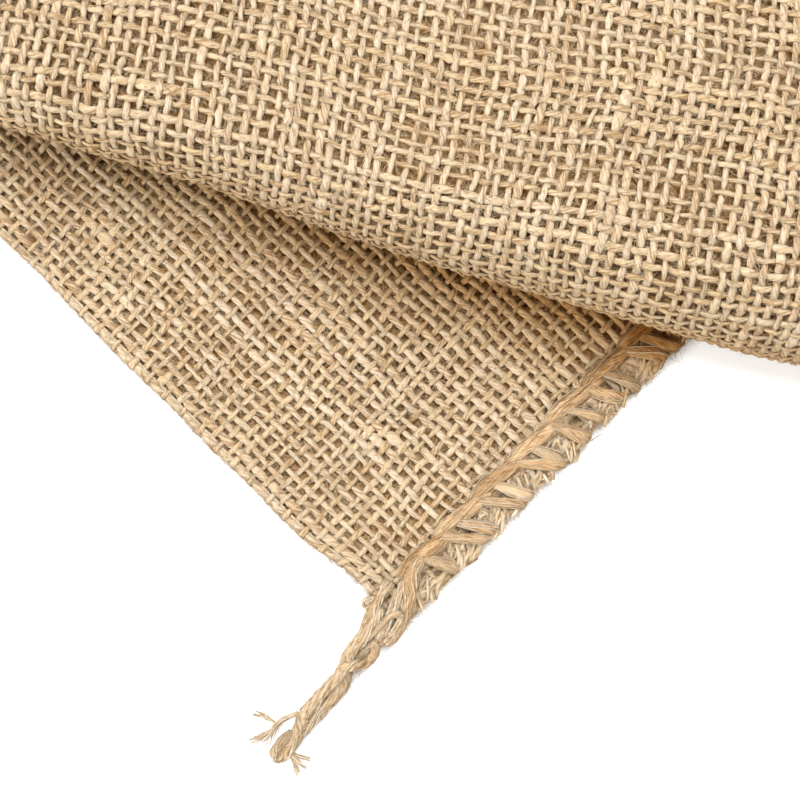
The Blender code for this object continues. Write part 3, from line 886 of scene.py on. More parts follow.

# %% [markdown]
# The twine is soft and barely twisted. A smooth tube with a bumpy material would keep a clean
# outline, while real twine shows single strands of fibre that lift and cross. So a core gives
# each thread its body, and thin strands wander over it. Far from the camera the strands are
# left out. The core is painted darker and browner, as shade between the strands; a bare core
# gets a little of that brown. Each strand's tint is its own, and darker strands also get more
# of the painted shade's brown.

# %% Soft twine
CORE_SIZE, CORE_SIDES, CORE_SHADE_DARKER, STRANDS_PALER = 0.90, 10, 0.04, 0.05
CORE_SHADE, BARE_CORE_SHADE = 0.30, 0.12
PALE_SPREAD, GOLD_SPREAD, DEEP_BELOW, DEEPEST = 0.09, 0.22, 0.66, 0.4
STRAND_PLACE, STRAND_RADIUS, STRAND_SIZES = 0.88, 0.145, (0.55, 1.5)
STRAND_START, STRAND_WANDER = 0.4, 0.22


def bundle(rng, centres, half_width, flatness, strands, turns, rough=0.11):
    """Thin strands that hug the outside of round centre lines (bundle, ring, pqd)."""
    count, rings, _ = centres.shape
    side, up = across(centres)
    share = np.linspace(0, 1, rings)
    paths, radii = [], []
    for strand in range(strands):
        angle = 2 * np.pi * strand / strands + 2 * np.pi * turns * share
        angle = angle + rng.uniform(-STRAND_START, STRAND_START, (count, 1))
        angle = angle + STRAND_WANDER * wander(rng, count, rings, 3)
        out = STRAND_PLACE + rough * wander(rng, count, rings, 2)
        wide = out * np.cos(angle) * half_width
        high = out * np.sin(angle) * half_width * flatness
        paths.append(centres + side * wide[..., None] + up * high[..., None])
        slim = 0.4 + 0.6 * half_width / half_width.max()
        radii.append(STRAND_RADIUS * rng.uniform(*STRAND_SIZES, (count, 1)) * slim)
    return np.concatenate(paths), np.concatenate(radii)


def tints(rng, count, pale, gold):
    """Tints of strands, each a little different."""
    tone = pale + PALE_SPREAD * rng.standard_normal(count)
    golden = gold + GOLD_SPREAD * rng.standard_normal(count)
    # Darker strands also get some painted shade brown, as if they lay deeper.
    deep = np.clip(DEEP_BELOW - tone, 0, DEEPEST)
    return np.stack([tone, np.clip(golden, 0, 1), deep], axis=-1)


def twist(rng, centres, half, flatness, strands, sides, pale, gold, turns=0.3):
    """The skins of soft twine: a fibrous core with thin strands on it."""
    # The core is painted darker and browner, as shade between the strands.
    core = tints(rng, len(centres), pale - CORE_SHADE_DARKER, gold)
    core[:, 2] = CORE_SHADE if strands else BARE_CORE_SHADE
    skins = [tubes(centres, half * CORE_SIZE, CORE_SIDES, core, flatness)]
    if strands:
        paths, radii = bundle(rng, centres, half, flatness, strands, turns)
        colours = tints(rng, len(paths), pale + STRANDS_PALER, gold)
        skins.append(tubes(paths, radii, sides, colours))
    return skins


print("strands of the twine are about", round(2 * STRAND_RADIUS, 2), "mm thick")

# %% [markdown]
# The stitches of the needle line are fat in the middle and pinched where the needle went
# through. Each begins a little inside the last one and ends beyond the next hole, which gives
# the line its rope-like look. A seam has its own coordinates: t runs along it, s inward from
# the cloth's edge and d up.

# %% Stitches of the needle line
STITCH_BEFORE, STITCH_REACH = 3.6, 14.4
STITCH_SLANT, STITCH_TUCK, TUCK_REACH = 0.85, 0.5, 0.10
STITCH_FLOOR, STITCH_ARCH, STITCH_OVER = 0.7, 1.0, 0.35
PINCHED_HALF, STITCH_SWELL = 0.55, 1.0


def needle_stitches(rng, starts, rings):
    """Centre lines (t, s, d) and half widths of the needle line's stitches."""
    share = np.linspace(0, 1, rings)
    jitter = rng.normal(0, 0.25, (len(starts), 1))
    t = starts[:, None] - STITCH_BEFORE + jitter + (STITCH_REACH + jitter) * share
    tuck = STITCH_TUCK * np.exp(-((share / TUCK_REACH) ** 2))
    bulge = STITCH_SLANT * np.cos(np.pi * share) - tuck
    s = NEEDLE_LINE + bulge * (1 + 0.2 * jitter) + rng.normal(0, 0.12, (len(starts), 1))
    d = STITCH_FLOOR + STITCH_ARCH * np.sin(np.pi * share) ** 0.5 + STITCH_OVER * (1 - share)
    half = PINCHED_HALF + STITCH_SWELL * np.sin(np.pi * share) ** 0.4
    return np.stack([t, s, d + 0 * t], axis=-1), half + 0 * t


thickest = needle_stitches(np.random.default_rng(1), np.array([0.0]), 13)[1].max()
print("a stitch is", round(2 * float(thickest), 2), "mm thick")

# %% [markdown]
# A bar starts under the needle line, leans along the seam on its way out, turns round the
# cloth's edge and comes back beneath. Its path is worked out as three shares: the run over
# the top, the half turn round the edge and the run back.

# %% Bars over the edge
TOP_SHARE, TURN_SHARE, UNDER_SHARE, LEAN_SHARE = 0.42, 0.30, 0.28, 0.55
BAR_INNER, BAR_EDGE, BAR_UNDER = 6.9, 2.0, 6.0
BAR_OVERHANG, BAR_MIDDLE, BAR_HEIGHT, BAR_ARCH = 1.45, 0.15, 1.75, 0.35
BAR_START_HALF = 0.85


def bars(rng, starts, rings, lean, spread_to):
    """Centre lines of bars from under the needle line, over the edge and back beneath."""
    def strayed(size):
        """A small difference for each bar."""
        return rng.normal(0, size, (len(starts), 1))

    share = np.linspace(0, 1, rings)
    arc = np.clip((share - TOP_SHARE) / TURN_SHARE, 0, 1) * np.pi
    top = np.clip(share / TOP_SHARE, 0, 1)
    under = np.clip((share - TOP_SHARE - TURN_SHARE) / UNDER_SHARE, 0, 1)
    edge = BAR_EDGE + strayed(0.35)
    s = edge + (BAR_INNER - edge) * (1 - top) - BAR_OVERHANG * np.sin(arc)
    s = s + (BAR_UNDER - edge) * under
    arch = BAR_ARCH * np.sin(np.pi * top) * (share < TOP_SHARE)
    d = BAR_MIDDLE + BAR_HEIGHT * np.cos(arc) + arch
    leans = lean * (1 + strayed(0.20))
    sway = strayed(0.3) + strayed(0.35) * arc
    t = starts[:, None] + leans * np.minimum(share / LEAN_SHARE, 1) + sway
    widest = spread_to * (1 + strayed(0.12))
    opening = np.sin(np.pi / 2 * np.clip(share / 0.5, 0, 1))
    half = BAR_START_HALF + (widest - BAR_START_HALF) * opening
    return np.stack([t, s, d + 0 * t], axis=-1), half


print("a bar turns", BAR_EDGE, "mm in from the flat sack's edge")

# %% [markdown]
# One function now sews any run of stitches. It draws the three threads of every stitch, and
# another function places them on the sack: the bottom seam's own coordinates are already
# those of the flat sack, while the side seam's are turned up its other side.

# %% Sewing a seam
FIRST_BAR, SECOND_BAR = 7.4, 1.7
FIRST_LEAN, SECOND_LEAN = 5.0, 3.2
FIRST_BAR_HALF, SECOND_BAR_HALF = 1.45, 1.35
NEEDLE_EXTRA = 4
THREAD_LOOKS = ({"flatness": 0.62, "pale": 0.50, "gold": 0.45},
                {"flatness": 0.60, "pale": 0.61, "gold": 0.40},
                {"flatness": 0.60, "pale": 0.67, "gold": 0.22})


def seam_skins(seed, starts, place, rings, sides, plies):
    """Every bundle of a run of stitches; place turns (t, s, d) into (p, q, d)."""
    rng = np.random.default_rng(seed)
    threads = [needle_stitches(rng, starts, rings),
               bars(rng, starts + FIRST_BAR, rings, FIRST_LEAN, FIRST_BAR_HALF),
               bars(rng, starts + SECOND_BAR, rings, SECOND_LEAN, SECOND_BAR_HALF)]
    strands = (plies and plies + NEEDLE_EXTRA, plies, plies)
    skins = []
    for (centres, half), count, look in zip(threads, strands, THREAD_LOOKS):
        skins += twist(rng, place(centres), half, look["flatness"], count, sides,
                       look["pale"], look["gold"])
    return skins


def along_bottom(points):
    """The bottom seam's (t, s, d) are already (p, q, d)."""
    return points


def along_side(points):
    """The side seam's (t, s, d) as (p, q, d)."""
    return np.stack([SACK_WIDTH - points[..., 1], points[..., 0], points[..., 2]], axis=-1)


DETAILED_TO, FAR_CORNER, SIDE_START, SIDE_END = 125.0, 8.0, 2.0, 12.0
near = np.arange(FIRST_STITCH, DETAILED_TO, STITCH)
far_end = SACK_WIDTH - SEAM_WIDTH - FAR_CORNER
far = np.arange(FIRST_STITCH + STITCH * len(near), far_end, STITCH)
side = np.arange(SIDE_START, SACK_LENGTH - SIDE_END, STITCH)
print("stitches near the camera", len(near), "further on", len(far), "up the side", len(side))

# %% [markdown]
# Between the pairs of bars lies the raw edge. Its cut yarns poke out as short pale ends, a
# looser thread of twine lies along the edge from pair to pair, and beneath it all the plies'
# edges are matted into one flat roll. Without that roll the floor would show in the gaps.

# %% The raw edge
END_PLACE, END_HEIGHT, END_RADIUS = (2.6, 8.6), (0.3, 1.7), (0.26, 0.45)
END_LENGTH, END_LEAN, LEAN_SPREAD, END_BEND = (2.2, 4.6), 0.45, 0.35, 0.60
END_OUTMOST, END_INMOST, END_SLANT, OUTER_LIMIT = 0.4, 4.9, 0.55, -0.5
LOOSER_START, LOOSER_RUN, LOOSER_HALF, LOOSER_SWELL = 2.2, 11.0, 0.75, 0.25
LOOSER_PLACE, LOOSER_WAVE, LOOSER_HEIGHT = 1.55, 0.45, 0.15
MAT_PLACE, MAT_DEPTH, MAT_HALF, MAT_FLAT = 3.4, -0.9, 2.7, 0.38
# The roll's tint is painted darker and browner than the cloth, as shade beneath the stitches.
MAT_SHADED_TINT = np.array([[0.42, 0.35, 0.30]])


def cut_ends(rng, starts, count):
    """Short pale ends of the cloth's cut yarns in the gaps between the pairs of bars."""
    total = len(starts) * count
    t = np.repeat(starts, count) + rng.uniform(*END_PLACE, total)
    s = END_OUTMOST + END_INMOST * rng.random(total) ** 1.4
    t += END_SLANT * (5.5 - s)
    heading = rng.normal(END_LEAN, LEAN_SPREAD, total)
    length = rng.uniform(*END_LENGTH, total)
    share = np.linspace(-0.5, 0.5, 5)
    curve = rng.normal(0, END_BEND, total)[:, None] * (share ** 2)
    path_t = t[:, None] + length[:, None] * share * np.cos(heading)[:, None]
    path_s = s[:, None] + length[:, None] * (share * np.sin(heading)[:, None] + curve)
    d = rng.uniform(*END_HEIGHT, total)[:, None] - 1.2 * share ** 2
    paths = np.stack([path_t, np.maximum(path_s, OUTER_LIMIT), d], axis=-1)
    radii = rng.uniform(*END_RADIUS, total)[:, None] * (1 - 0.9 * share ** 2)
    return tubes(paths, radii, 5, tints(rng, total, pale=0.68, gold=0.25))


def edge_plies(rng, starts, rings):
    """Centre lines of the looser twine that lies along the edge from pair to pair."""
    share = np.linspace(0, 1, rings)
    t = starts[:, None] + LOOSER_START + LOOSER_RUN * share
    s = LOOSER_PLACE - LOOSER_WAVE * np.cos(2 * np.pi * share)
    s = s + rng.normal(0, 0.15, (len(starts), 1)) + 0.22 * wander(rng, len(starts), rings, 1)
    d = rng.normal(LOOSER_HEIGHT, 0.2, (len(starts), 1)) + 0 * share
    half = LOOSER_HALF + LOOSER_SWELL * np.sin(np.pi * share)
    return np.stack([t, s, d], axis=-1), half + 0 * t


def matted_edge(rng, start, end, rings):
    """The skin of the plies' cut edges, matted into one flat roll beneath the stitches."""
    t = np.linspace(start, end, rings)
    line = np.stack([t, MAT_PLACE + 0 * t, MAT_DEPTH + 0 * t], axis=-1)[None]
    radii = MAT_HALF + 0.2 * wander(rng, 1, rings, 2)
    return tubes(line, radii, 8, MAT_SHADED_TINT, MAT_FLAT)


print("the matted roll is", round(2 * MAT_HALF, 1), "mm wide")

# %% [markdown]
# At the corner the last stitches run together and become the roots of the tail. They follow
# no rule, so each is a route, a short list of places that a smooth line goes through. A row
# of a route is the way along the seam from the corner, the way up the folded side, and the
# height off the floor.

# %% Routes of thick twine
ROOTS = (((14.0, 7.0, 4.6), (11.0, 6.5, 4.9), (8.6, 5.2, 5.1), (6.0, 3.2, 4.9), (3.0, 1.5, 4.4),
          (-0.5, 0.5, 3.8), (-3.0, 0.6, 3.2)),
         ((8.0, 6.2, 4.4), (5.5, 5.2, 4.8), (2.5, 3.9, 4.8), (-0.5, 2.8, 4.4), (-3.5, 2.1, 4.0)),
         ((6.0, 7.6, 4.0), (3.6, 7.7, 4.5), (1.2, 7.2, 4.7), (-1.6, 6.1, 4.4), (-4.5, 5.0, 4.0)),
         ((3.0, 6.9, 4.4), (1.4, 8.2, 4.4), (0.1, 8.9, 4.0), (-0.5, 8.2, 3.8), (0.1, 7.5, 4.2),
          (1.8, 6.6, 4.6)),
         ((-5.0, 3.5, 4.4), (-2.2, 3.7, 5.0), (1.0, 3.7, 5.4), (2.8, 2.9, 5.5), (2.8, 1.9, 5.3),
          (0.6, 1.3, 4.9), (-2.0, 1.2, 4.2)),
         ((4.0, 3.0, 3.0), (1.0, 2.5, 2.8), (-2.5, 2.1, 2.4), (-5.0, 1.8, 2.2)))
ROOT_HALF = (1.35, 0.95, 1.00, 0.62, 0.65, 1.25)
PLY_FLATNESS, PLY_STEPS, PLY_TAPER = 0.85, 6, 0.25


def route(rows, steps):
    """A smooth line (1, ring, pqd) through the rows of a route."""
    line = refine(np.array(rows).T, steps).T[None]
    line[..., 2] -= SEAM_HALF
    return line


def ply(rng, rows, half, strands, pale, gold, turns):
    """The skins of one thick ply of twine along a route."""
    line = route(rows, PLY_STEPS)
    share = np.linspace(0, 1, line.shape[1])
    width = half * (1 - PLY_TAPER * np.abs(2 * share - 1) ** 6)
    width = width + 0.05 * wander(rng, 1, len(share), 3)
    return twist(rng, line, width, PLY_FLATNESS, strands, 3, pale, gold, turns)


print("roots of the tail", len(ROOTS))

# %% [markdown]
# The bottom seam is all of these together: detailed stitches as far as the camera sees, the
# raw edge, the roots of the tail, and plainer stitches on to the sack's far corner. Its first
# stitch is left out, because the roots take its place.

# %% Bottom seam
skins = seam_skins(31, near[1:], along_bottom, rings=13, sides=3, plies=15)
rng = np.random.default_rng(35)
looser, looser_half = edge_plies(rng, near, rings=12)
skins += twist(rng, looser, looser_half, flatness=0.9, strands=9, sides=4, pale=0.52, gold=0.28,
               turns=1.4)
skins.append(cut_ends(rng, near, count=25))
for rows, half in zip(ROOTS, ROOT_HALF):
    skins += ply(rng, rows, half, strands=17, pale=0.60, gold=0.15, turns=0.5)
skins.append(matted_edge(np.random.default_rng(36), start=2.0, end=128.0, rings=64))
skins += seam_skins(32, far, along_bottom, rings=10, sides=3, plies=0)
bottom_seam = piece("bottom_seam_twine", skins, TWINE)
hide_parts("bottom_seam")

# %% [markdown]
# The side seam closes the sack up its other side with the same stitch, all of it plain.

# %% Side seam
skins = seam_skins(33, side, along_side, rings=10, sides=3, plies=0)
side_seam = piece("side_seam_twine", skins, TWINE)
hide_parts("side_seam")

# %% [markdown]
# ## The tail
#
# At the corner the stitches run out of the cloth as a loose chain of twine. Two thick plies
# wind over and under each other, a third makes the open loop near the cloth, and two more lie
# beneath. A chain could be made by repeating one link, but this one has been pulled long and
# no two of its turns are alike, so each ply has its own route.

# %% Tail of twine
UPPER_PLY = ((1.5, 5.9, 4.8), (-1.0, 5.2, 4.4), (-5.0, 4.5, 4.4), (-8.6, 4.3, 4.0),
             (-11.0, 3.2, 3.4), (-13.0, 1.5, 2.6), (-16.5, 0.5, 2.2), (-21.0, 0.3, 2.0),
             (-25.5, 0.3, 2.0), (-29.5, -0.2, 1.8), (-32.6, -0.2, 1.6), (-33.2, 0.7, 1.8),
             (-31.5, 1.4, 2.2), (-28.0, 1.3, 2.6))
LOWER_PLY = ((1.5, 1.1, 3.8), (-2.5, 1.1, 2.6), (-5.0, 2.6, 2.2), (-8.5, 2.6, 2.0),
             (-11.5, 2.9, 3.6), (-15.0, 2.5, 3.6), (-19.5, 2.5, 3.2), (-23.5, 2.1, 3.2),
             (-26.0, 1.0, 2.6), (-28.5, 0.4, 2.2))
LOOP_PLY = ((-1.0, 3.0, 2.6), (-4.4, 1.6, 2.4), (-6.5, 0.5, 2.6), (-8.8, 0.7, 3.2),
            (-10.4, 2.2, 4.4), (-12.0, 3.2, 4.2), (-14.5, 2.0, 2.4))
UNDER_PLY = ((0.5, 3.6, 2.0), (-3.5, 3.6, 1.7), (-7.0, 3.2, 1.6), (-10.0, 2.6, 1.6),
             (-13.0, 2.4, 1.9))
LOOSE_PLY = ((-12.0, 1.0, 1.6), (-15.0, -0.3, 1.2), (-19.0, -0.5, 1.0), (-21.5, -0.1, 1.4))

rng = np.random.default_rng(41)
skins = ply(rng, UPPER_PLY, half=1.30, strands=19, pale=0.64, gold=0.08, turns=2.4)
skins += ply(rng, LOWER_PLY, half=1.30, strands=19, pale=0.60, gold=0.12, turns=2.4)
skins += ply(rng, LOOP_PLY, half=1.00, strands=17, pale=0.56, gold=0.20, turns=1.6)
skins += ply(rng, UNDER_PLY, half=1.10, strands=15, pale=0.46, gold=0.20, turns=1.2)
skins += ply(rng, LOOSE_PLY, half=0.45, strands=6, pale=0.64, gold=0.05, turns=1.0)
tail = piece("tail_chain", skins, TWINE)
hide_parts("chain_tail")

# %% [markdown]
# Where the chain was cut, its plies come apart into locks of fibre that splay and taper.
# They are bundles without a core, whose strands wander more and grow thinner to the end.

# %% Frayed locks
LOCKS = (((-24.3, 3.0, 2.6), (-27.5, 4.4, 2.8), (-30.5, 4.2, 2.2), (-33.3, 3.6, 1.2)),
         ((-28.0, 4.2, 2.2), (-31.5, 4.6, 1.6), (-33.6, 5.2, 1.2), (-35.3, 5.9, 0.9)),
         ((-28.8, 4.6, 2.0), (-29.2, 6.2, 1.6), (-29.8, 7.8, 1.2), (-30.7, 9.2, 0.9)),
         ((-31.3, -0.4, 2.0), (-31.0, -2.2, 1.4), (-31.2, -4.0, 1.0), (-31.0, -5.9, 0.7)),
         ((-31.3, -0.6, 2.0), (-31.6, -2.4, 1.3), (-32.6, -4.2, 0.9), (-33.0, -5.5, 0.7)),
         ((-31.2, -0.6, 2.0), (-30.6, -2.2, 1.3), (-30.0, -3.8, 0.9), (-29.3, -4.9, 0.7)))
LOCK_HALF = (0.95, 0.70, 0.60, 0.55, 0.50, 0.45)

rng = np.random.default_rng(42)
skins = []
for rows, half in zip(LOCKS, LOCK_HALF):
    line = route(rows, steps=5)
    share = np.linspace(0, 1, line.shape[1])
    width = half * (1 - 0.1 * share) * (0.4 + 0.6 * share) + 0 * line[..., 0]
    paths, radii = bundle(rng, line, width, flatness=0.7, strands=9, turns=0.2, rough=0.25)
    radii = radii * (1.1 - 0.8 * share ** 2)
    colours = tints(rng, len(paths), pale=0.68, gold=0.08)
    skins.append(tubes(paths, radii, 4, colours))
tufts = piece("tail_tufts", skins, TWINE)
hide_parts("frayed_ends")

# %% [markdown]
# ## Fuzz
#
# Jute sheds short pale hairs. They stand off the yarns, cross the holes and soften every edge.
# Hair particles would be slow here and can't be exported, so each hair is a narrow curved
# ribbon. It is drawn on the same coordinates as the yarn it grows from, so it follows every
# fold of the cloth.

# %% Hairs
HAIR_PALE_SPREAD, HAIR_SHADE, HAIR_GOLDEN, HAIR_SHADE_DEPTH = 0.34, 0.15, 0.75, 0.85
HAIR_TAPER, HAIR_UV_STEP, HAIR_GIRTH, LONG_BEND, SHORT_BEND = 0.6, 3.0, 0.2, 0.8, 0.15


def hairs(rng, roots, headings, lengths, width, lift, pale, steps=3, arch=0.75, deep=0.0,
          surface=wrap):
    """Curved hairs as flat ribbons from their roots over the surface's coordinates."""
    share = np.linspace(0, 1, steps + 1)
    bend = rng.normal(0, LONG_BEND if steps > 2 else SHORT_BEND, (len(roots), 1))
    angle = headings[:, None] + bend * share
    reach = lengths[:, None] / steps
    w = roots[:, :1] + np.cumsum(np.cos(angle) * reach, axis=1) - np.cos(angle[:, :1]) * reach
    q = roots[:, 1:2] + np.cumsum(np.sin(angle) * reach, axis=1) - np.sin(angle[:, :1]) * reach
    h = roots[:, 2:3] + lift[:, None] * np.sin(np.pi * arch * share)
    taper = width * (1 - HAIR_TAPER * share)
    side = np.stack([-np.sin(angle), np.cos(angle)], axis=-1) * taper[None, :, None]
    w = np.stack([w - side[..., 0], w + side[..., 0]], axis=-1)
    q = np.stack([q - side[..., 1], q + side[..., 1]], axis=-1)
    p, q, d = surface(w, q, h[..., None] + 0 * w)
    # Under the front fold a hair gets painted shade: darker, fully golden and browner.
    dim = shelter(p[..., 0], q[..., 0])
    tone = pale - HAIR_SHADE * dim + HAIR_PALE_SPREAD * rng.standard_normal((len(roots), 1))
    golden = HAIR_GOLDEN + (1 - HAIR_GOLDEN) * dim
    tint = np.stack([tone, golden, np.maximum(deep, HAIR_SHADE_DEPTH * dim)], axis=-1)
    along = np.arange(steps + 1) + np.arange(len(roots))[:, None] * HAIR_UV_STEP
    keep = np.ones((len(roots), steps), bool)
    return skin(fold(p, q, d), keep, along, HAIR_GIRTH, tint, False)


rng = np.random.default_rng(51)
flap_nodes = np.argwhere(fine_flap & (grid_w > 0))
top_nodes = np.argwhere(fine_top & (grid_w > 0))
print("crossings that grow hairs", len(flap_nodes), "and", len(top_nodes))

# %% [markdown]
# The cloth has three kinds of hair, and each starts from crossings of the grid. The first two
# are long loose ones that stand off the cloth anywhere, and short fluff across the holes, a
# little below the yarns' backs.

# %% Loose hairs and fluff
LOOSE_OFF, LOOSE_HEIGHT, LOOSE_LENGTH, LOOSE_LIFT = 1.2, (-0.3, 0.7), (1.2, 4.5), 0.35
FLUFF_OFF, FLUFF_HEIGHT, FLUFF_LENGTH, FLUFF_LIFT = 0.7, (-0.9, 0.1), (0.7, 1.6), 0.15


def loose_hairs(rng, nodes, count):
    """Hairs that stand off the cloth about these crossings."""
    chosen = nodes[rng.integers(len(nodes), size=count)]
    at = chosen[:, 0], chosen[:, 1]
    w = grid_w[at] + rng.uniform(-LOOSE_OFF, LOOSE_OFF, count)
    q = grid_q[at] + rng.uniform(-LOOSE_OFF, LOOSE_OFF, count)
    roots = np.stack([w, q, rng.uniform(*LOOSE_HEIGHT, count)], axis=-1)
    heading = rng.integers(0, 4, count) * np.pi / 2 + rng.normal(0, 0.5, count)
    lift = np.abs(rng.normal(0, LOOSE_LIFT, count))
    length = rng.uniform(*LOOSE_LENGTH, count)
    return hairs(rng, roots, heading, length, width=0.032, lift=lift, pale=0.8)


def hole_fluff(rng, nodes, each):
    """Short fibres that cross the holes a little below the yarns' backs."""
    chosen = np.repeat(nodes, each, axis=0)
    count = len(chosen)
    at = chosen[:, 0], chosen[:, 1]
    middle = PITCH / 2 + rng.uniform(-FLUFF_OFF, FLUFF_OFF, (2, count))
    height = rng.uniform(*FLUFF_HEIGHT, count)
    roots = np.stack([grid_w[at] + middle[0], grid_q[at] + middle[1], height], axis=-1)
    heading, length = rng.uniform(0, 2 * np.pi, count), rng.uniform(*FLUFF_LENGTH, count)
    roots[:, 0] -= length / 2 * np.cos(heading)
    roots[:, 1] -= length / 2 * np.sin(heading)
    lift = FLUFF_LIFT + 0 * length
    return hairs(rng, roots, heading, length, width=0.035, lift=lift, pale=0.75, steps=2)


skins = [loose_hairs(rng, flap_nodes, 4500), loose_hairs(rng, top_nodes, 5000),
         hole_fluff(rng, flap_nodes, 7), hole_fluff(rng, top_nodes, 7)]
print("loose hairs and fluff", sum(len(part[1]) for part in skins), "quads")

# %% [markdown]
# The third kind are fibres on the backs of the yarns that are on top, which lean with the
# yarn's twist. They start and end just inside the yarn, so that only their middles show.

# %% Fibres on the yarns
FIBRE_LEAN, FIBRE_SPREAD, FIBRE_LENGTH, OFF_MIDDLE = -0.30, 0.16, (1.3, 2.3), 0.75
FIBRE_OFF, FIBRE_CLEAR, FIBRE_SUNK, FIBRE_ARC = 0.25, 0.05, 0.10, 0.20


def yarn_fibres(rng, nodes, each):
    """Fibres on the backs of the yarns, which lean with the yarn's twist."""
    chosen = np.repeat(nodes, each, axis=0)
    count = len(chosen)
    at = chosen[:, 0], chosen[:, 1]
    lengthwise = parity[at] > 0
    heading = np.where(lengthwise, np.pi / 2, 0.0) + FIBRE_LEAN
    heading = heading + rng.normal(0, FIBRE_SPREAD, count)
    half_width, half_thick, rise = (np.where(lengthwise, LENGTHWISE[name], CROSSWISE[name])
                                    for name in ("half_width", "half_thick", "lift"))
    offset = rng.uniform(-OFF_MIDDLE, OFF_MIDDLE, count)
    length = rng.uniform(*FIBRE_LENGTH, count)
    centre = rng.normal(0, FIBRE_OFF, count)
    beside = offset * half_width
    w = grid_w[at] + np.where(lengthwise, beside, centre) - length / 2 * np.cos(heading)
    q = grid_q[at] + np.where(lengthwise, centre, beside) - length / 2 * np.sin(heading)
    top = rise + half_thick * np.sqrt(1 - offset ** 2) + FIBRE_CLEAR
    drop = FIBRE_SUNK + FIBRE_ARC * length ** 2 / PITCH
    roots = np.stack([w, q, top - drop], axis=-1)
    return hairs(rng, roots, heading, length, width=0.06, lift=drop, pale=0.56, steps=2,
                 arch=1.0)


skins += [yarn_fibres(rng, flap_nodes, 4), yarn_fibres(rng, top_nodes, 4)]
print("all hairs on the cloth", sum(len(part[1]) for part in skins), "quads")

# %% [markdown]
# The seam and the folded side have hairs of their own. Most of the seam's lie anywhere on
# it; some stand out over its edge, and those of the folded side point away from the cloth.
# They soften the sack's outline, which would look cut with scissors without them.

# %% Hairs of the seam and the folded side
SEAM_HAIRS, SIDE_HAIRS = 900, 700
EDGE_SHARE = 0.30


def strewn(rng, count, *spans):
    """Places spread evenly between the ends of each span."""
    return np.stack([rng.uniform(low, high, count) for low, high in spans], axis=-1)


def short_hairs(rng, roots, heading, longest, width, lift, pale, surface=wrap):
    """Hairs from 1 mm long, each lifted a little by chance."""
    lifts = np.abs(rng.normal(0, lift, len(roots)))
    lengths = rng.uniform(1.0, longest, len(roots))
    return hairs(rng, roots, heading, lengths, width, lifts, pale, surface=surface)


edge = rng.random(SEAM_HAIRS) < EDGE_SHARE
roots = strewn(rng, SEAM_HAIRS, (0, 112), (0, 9.5), (0.4, 1.5))
roots[edge, 1:] = rng.uniform((-0.3, -1.6), (1.2, 1.0), (int(edge.sum()), 2))
outward = rng.normal(-np.pi / 2, 0.7, SEAM_HAIRS)
heading = np.where(edge, outward, rng.uniform(0, 2 * np.pi, SEAM_HAIRS))
skins.append(short_hairs(rng, roots, heading, longest=3.2, width=0.035, lift=0.30, pale=0.60))
roots = strewn(rng, SIDE_HAIRS, (-1.2, 1.6), (2, 118), (0.0, 0.6))
heading = rng.normal(np.pi, 0.9, SIDE_HAIRS)
skins.append(short_hairs(rng, roots, heading, longest=3.0, width=0.035, lift=0.40, pale=0.75))
print("hairs over the seam's edge", int(edge.sum()), "of", SEAM_HAIRS)

# %% [markdown]
# A few dark specks of bark are left in any jute. Each row is one of them: its place on the
# unrolled cloth, its height, heading and length. With them the cloth's fuzz is complete.

# %% Dark fibres and the cloth's fuzz
DARK_FIBRES = np.array((
    (13.6, 90.4, 0.9, 0.15, 2.2), (15.4, 90.8, 0.9, 0.5, 1.8), (0.4, 49.6, 0.4, 0.9, 2.2),
    (52.6, -0.6, 0.2, 0.1, 2.6), (207.6, 203.2, 0.9, 0.3, 2.4), (34.0, 20.0, 0.7, 1.2, 1.5),
    (61.0, 34.0, 0.7, 0.2, 1.4), (190.0, 215.0, 0.8, 1.4, 1.5), (120.0, 226.0, 0.8, 0.2, 1.6)))

heading, length = DARK_FIBRES[:, 3], DARK_FIBRES[:, 4]
lift = 0.3 + 0 * length
skins.append(hairs(rng, DARK_FIBRES[:, :3], heading, length, width=0.11, lift=lift, pale=-0.3,
                   deep=1.0))
fuzz = piece("fuzz", skins, HESSIAN)

# %% [markdown]
# The tail's hairs grow on the flat sack's own coordinates, since the tail isn't cloth. They
# point to its cut end, and some of them back.

# %% The tail's fuzz
TAIL_HAIRS, BACK_SHARE = 350, 0.4


def beside_cloth(p, q, d):
    """Coordinates that are those of the flat sack already."""
    return p, q, d


roots = strewn(rng, TAIL_HAIRS, (-33, 1), (-0.8, 4.5), (-0.5, 1.4))
heading = rng.normal(np.pi, 0.7, TAIL_HAIRS)
heading = heading + np.pi * (rng.random(TAIL_HAIRS) < BACK_SHARE)
tail_hairs = short_hairs(rng, roots, heading, longest=3.2, width=0.03, lift=0.30, pale=0.60,
                         surface=beside_cloth)
tail_fuzz = piece("tail_fuzz", [tail_hairs], TWINE)

# %% [markdown]
# ## The tail's middle line
#
# The tail leaves the cloth at the corner, is about as thick as its chain is wide, and ends
# bare. A line through the middle of its plies is worked out and folded like the sack.

# %% The tail's middle line
TAIL_MIDDLE = ((1.5, 3.6, 3.4), (-3.5, 3.6, 3.0), (-7.5, 2.6, 3.0), (-11.5, 2.3, 2.8),
               (-16.0, 1.5, 2.6), (-21.0, 1.4, 2.6), (-26.0, 0.9, 2.4), (-30.0, 0.5, 2.2),
               (-33.4, 0.5, 1.8))

tail_path = route(TAIL_MIDDLE, 3)[0]
tail_points = fold(tail_path[:, 0], tail_path[:, 1], tail_path[:, 2])

# %% [markdown]
# The two plies are sheets, each as large as the sack when flat. The pleat holds them folded,
# and the upper one rests on the lower one.

# %% The plies as sheets
print("sheets", upper_ply.name, lower_ply.name)

# %% [markdown]
# ## Floor and light
#
# The floor is plain, matt and nearly white, so that the jute stands out and its soft shadow
# shows. It is larger than anything the camera can see.

# %% Floor
FLOOR_HALF, FLOOR_WHITE = 3, 0.68

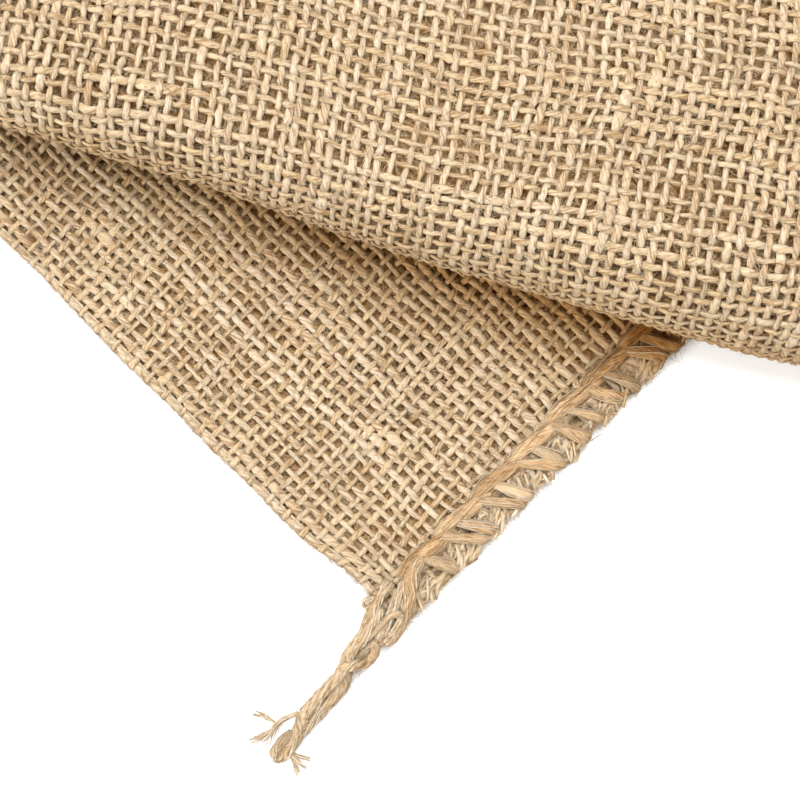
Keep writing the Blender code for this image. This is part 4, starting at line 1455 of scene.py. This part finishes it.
mesh = bpy.data.meshes.new("floor")
corners = [(-FLOOR_HALF, -FLOOR_HALF, 0), (FLOOR_HALF, -FLOOR_HALF, 0),
           (FLOOR_HALF, FLOOR_HALF, 0), (-FLOOR_HALF, FLOOR_HALF, 0)]
mesh.from_pydata(corners, [], [(0, 1, 2, 3)])
floor = bpy.data.objects.new("floor", mesh)
bpy.context.scene.collection.objects.link(floor)
white = bpy.data.materials.new("floor_white")
white.use_nodes = True
shader = white.node_tree.nodes["Principled BSDF"]
shader.inputs["Base Color"].default_value = (FLOOR_WHITE, FLOOR_WHITE, FLOOR_WHITE, 1)
shader.inputs["Roughness"].default_value = 0.9
mesh.materials.append(white)
print("floor", 2 * FLOOR_HALF, "m wide")

# %% [markdown]
# Large square lamps give the even light of a bright room. The key stands beyond the sack's
# mouth, so the flap lies in the front fold's soft shadow. The left lamp is low and rakes
# over the weave, which makes every yarn stand out. A dim warm world fills the deepest places.

# %% Lamps and world
AIM = Vector((-0.07, -0.20, 0.0))
LAMPS = (("key", (-0.05, 0.85, 1.25), 0.8, 26.0), ("left", (-1.00, -1.10, 0.95), 0.7, 46.0),
         ("right", (1.10, -0.30, 1.00), 0.8, 8.0), ("overhead", (-0.05, 0.35, 1.65), 0.9, 43.5))
WORLD_COLOUR, WORLD_STRENGTH = (1.0, 0.85, 0.68, 1.0), 0.40

for name, spot, size, power in LAMPS:
    light = bpy.data.lights.new(name, "AREA")
    light.size = size
    light.energy = power
    lamp = bpy.data.objects.new(name, light)
    lamp.location = spot
    lamp.rotation_euler = (AIM - Vector(spot)).to_track_quat("-Z", "Y").to_euler()
    bpy.context.scene.collection.objects.link(lamp)
world = bpy.data.worlds.new("studio")
bpy.context.scene.world = world
world.use_nodes = True
background = world.node_tree.nodes["Background"]
background.inputs["Color"].default_value = WORLD_COLOUR
background.inputs["Strength"].default_value = WORLD_STRENGTH
bpy.context.scene.view_settings.view_transform = "Standard"
print("lamps", [light.name for light in bpy.data.lights])

# %% [markdown]
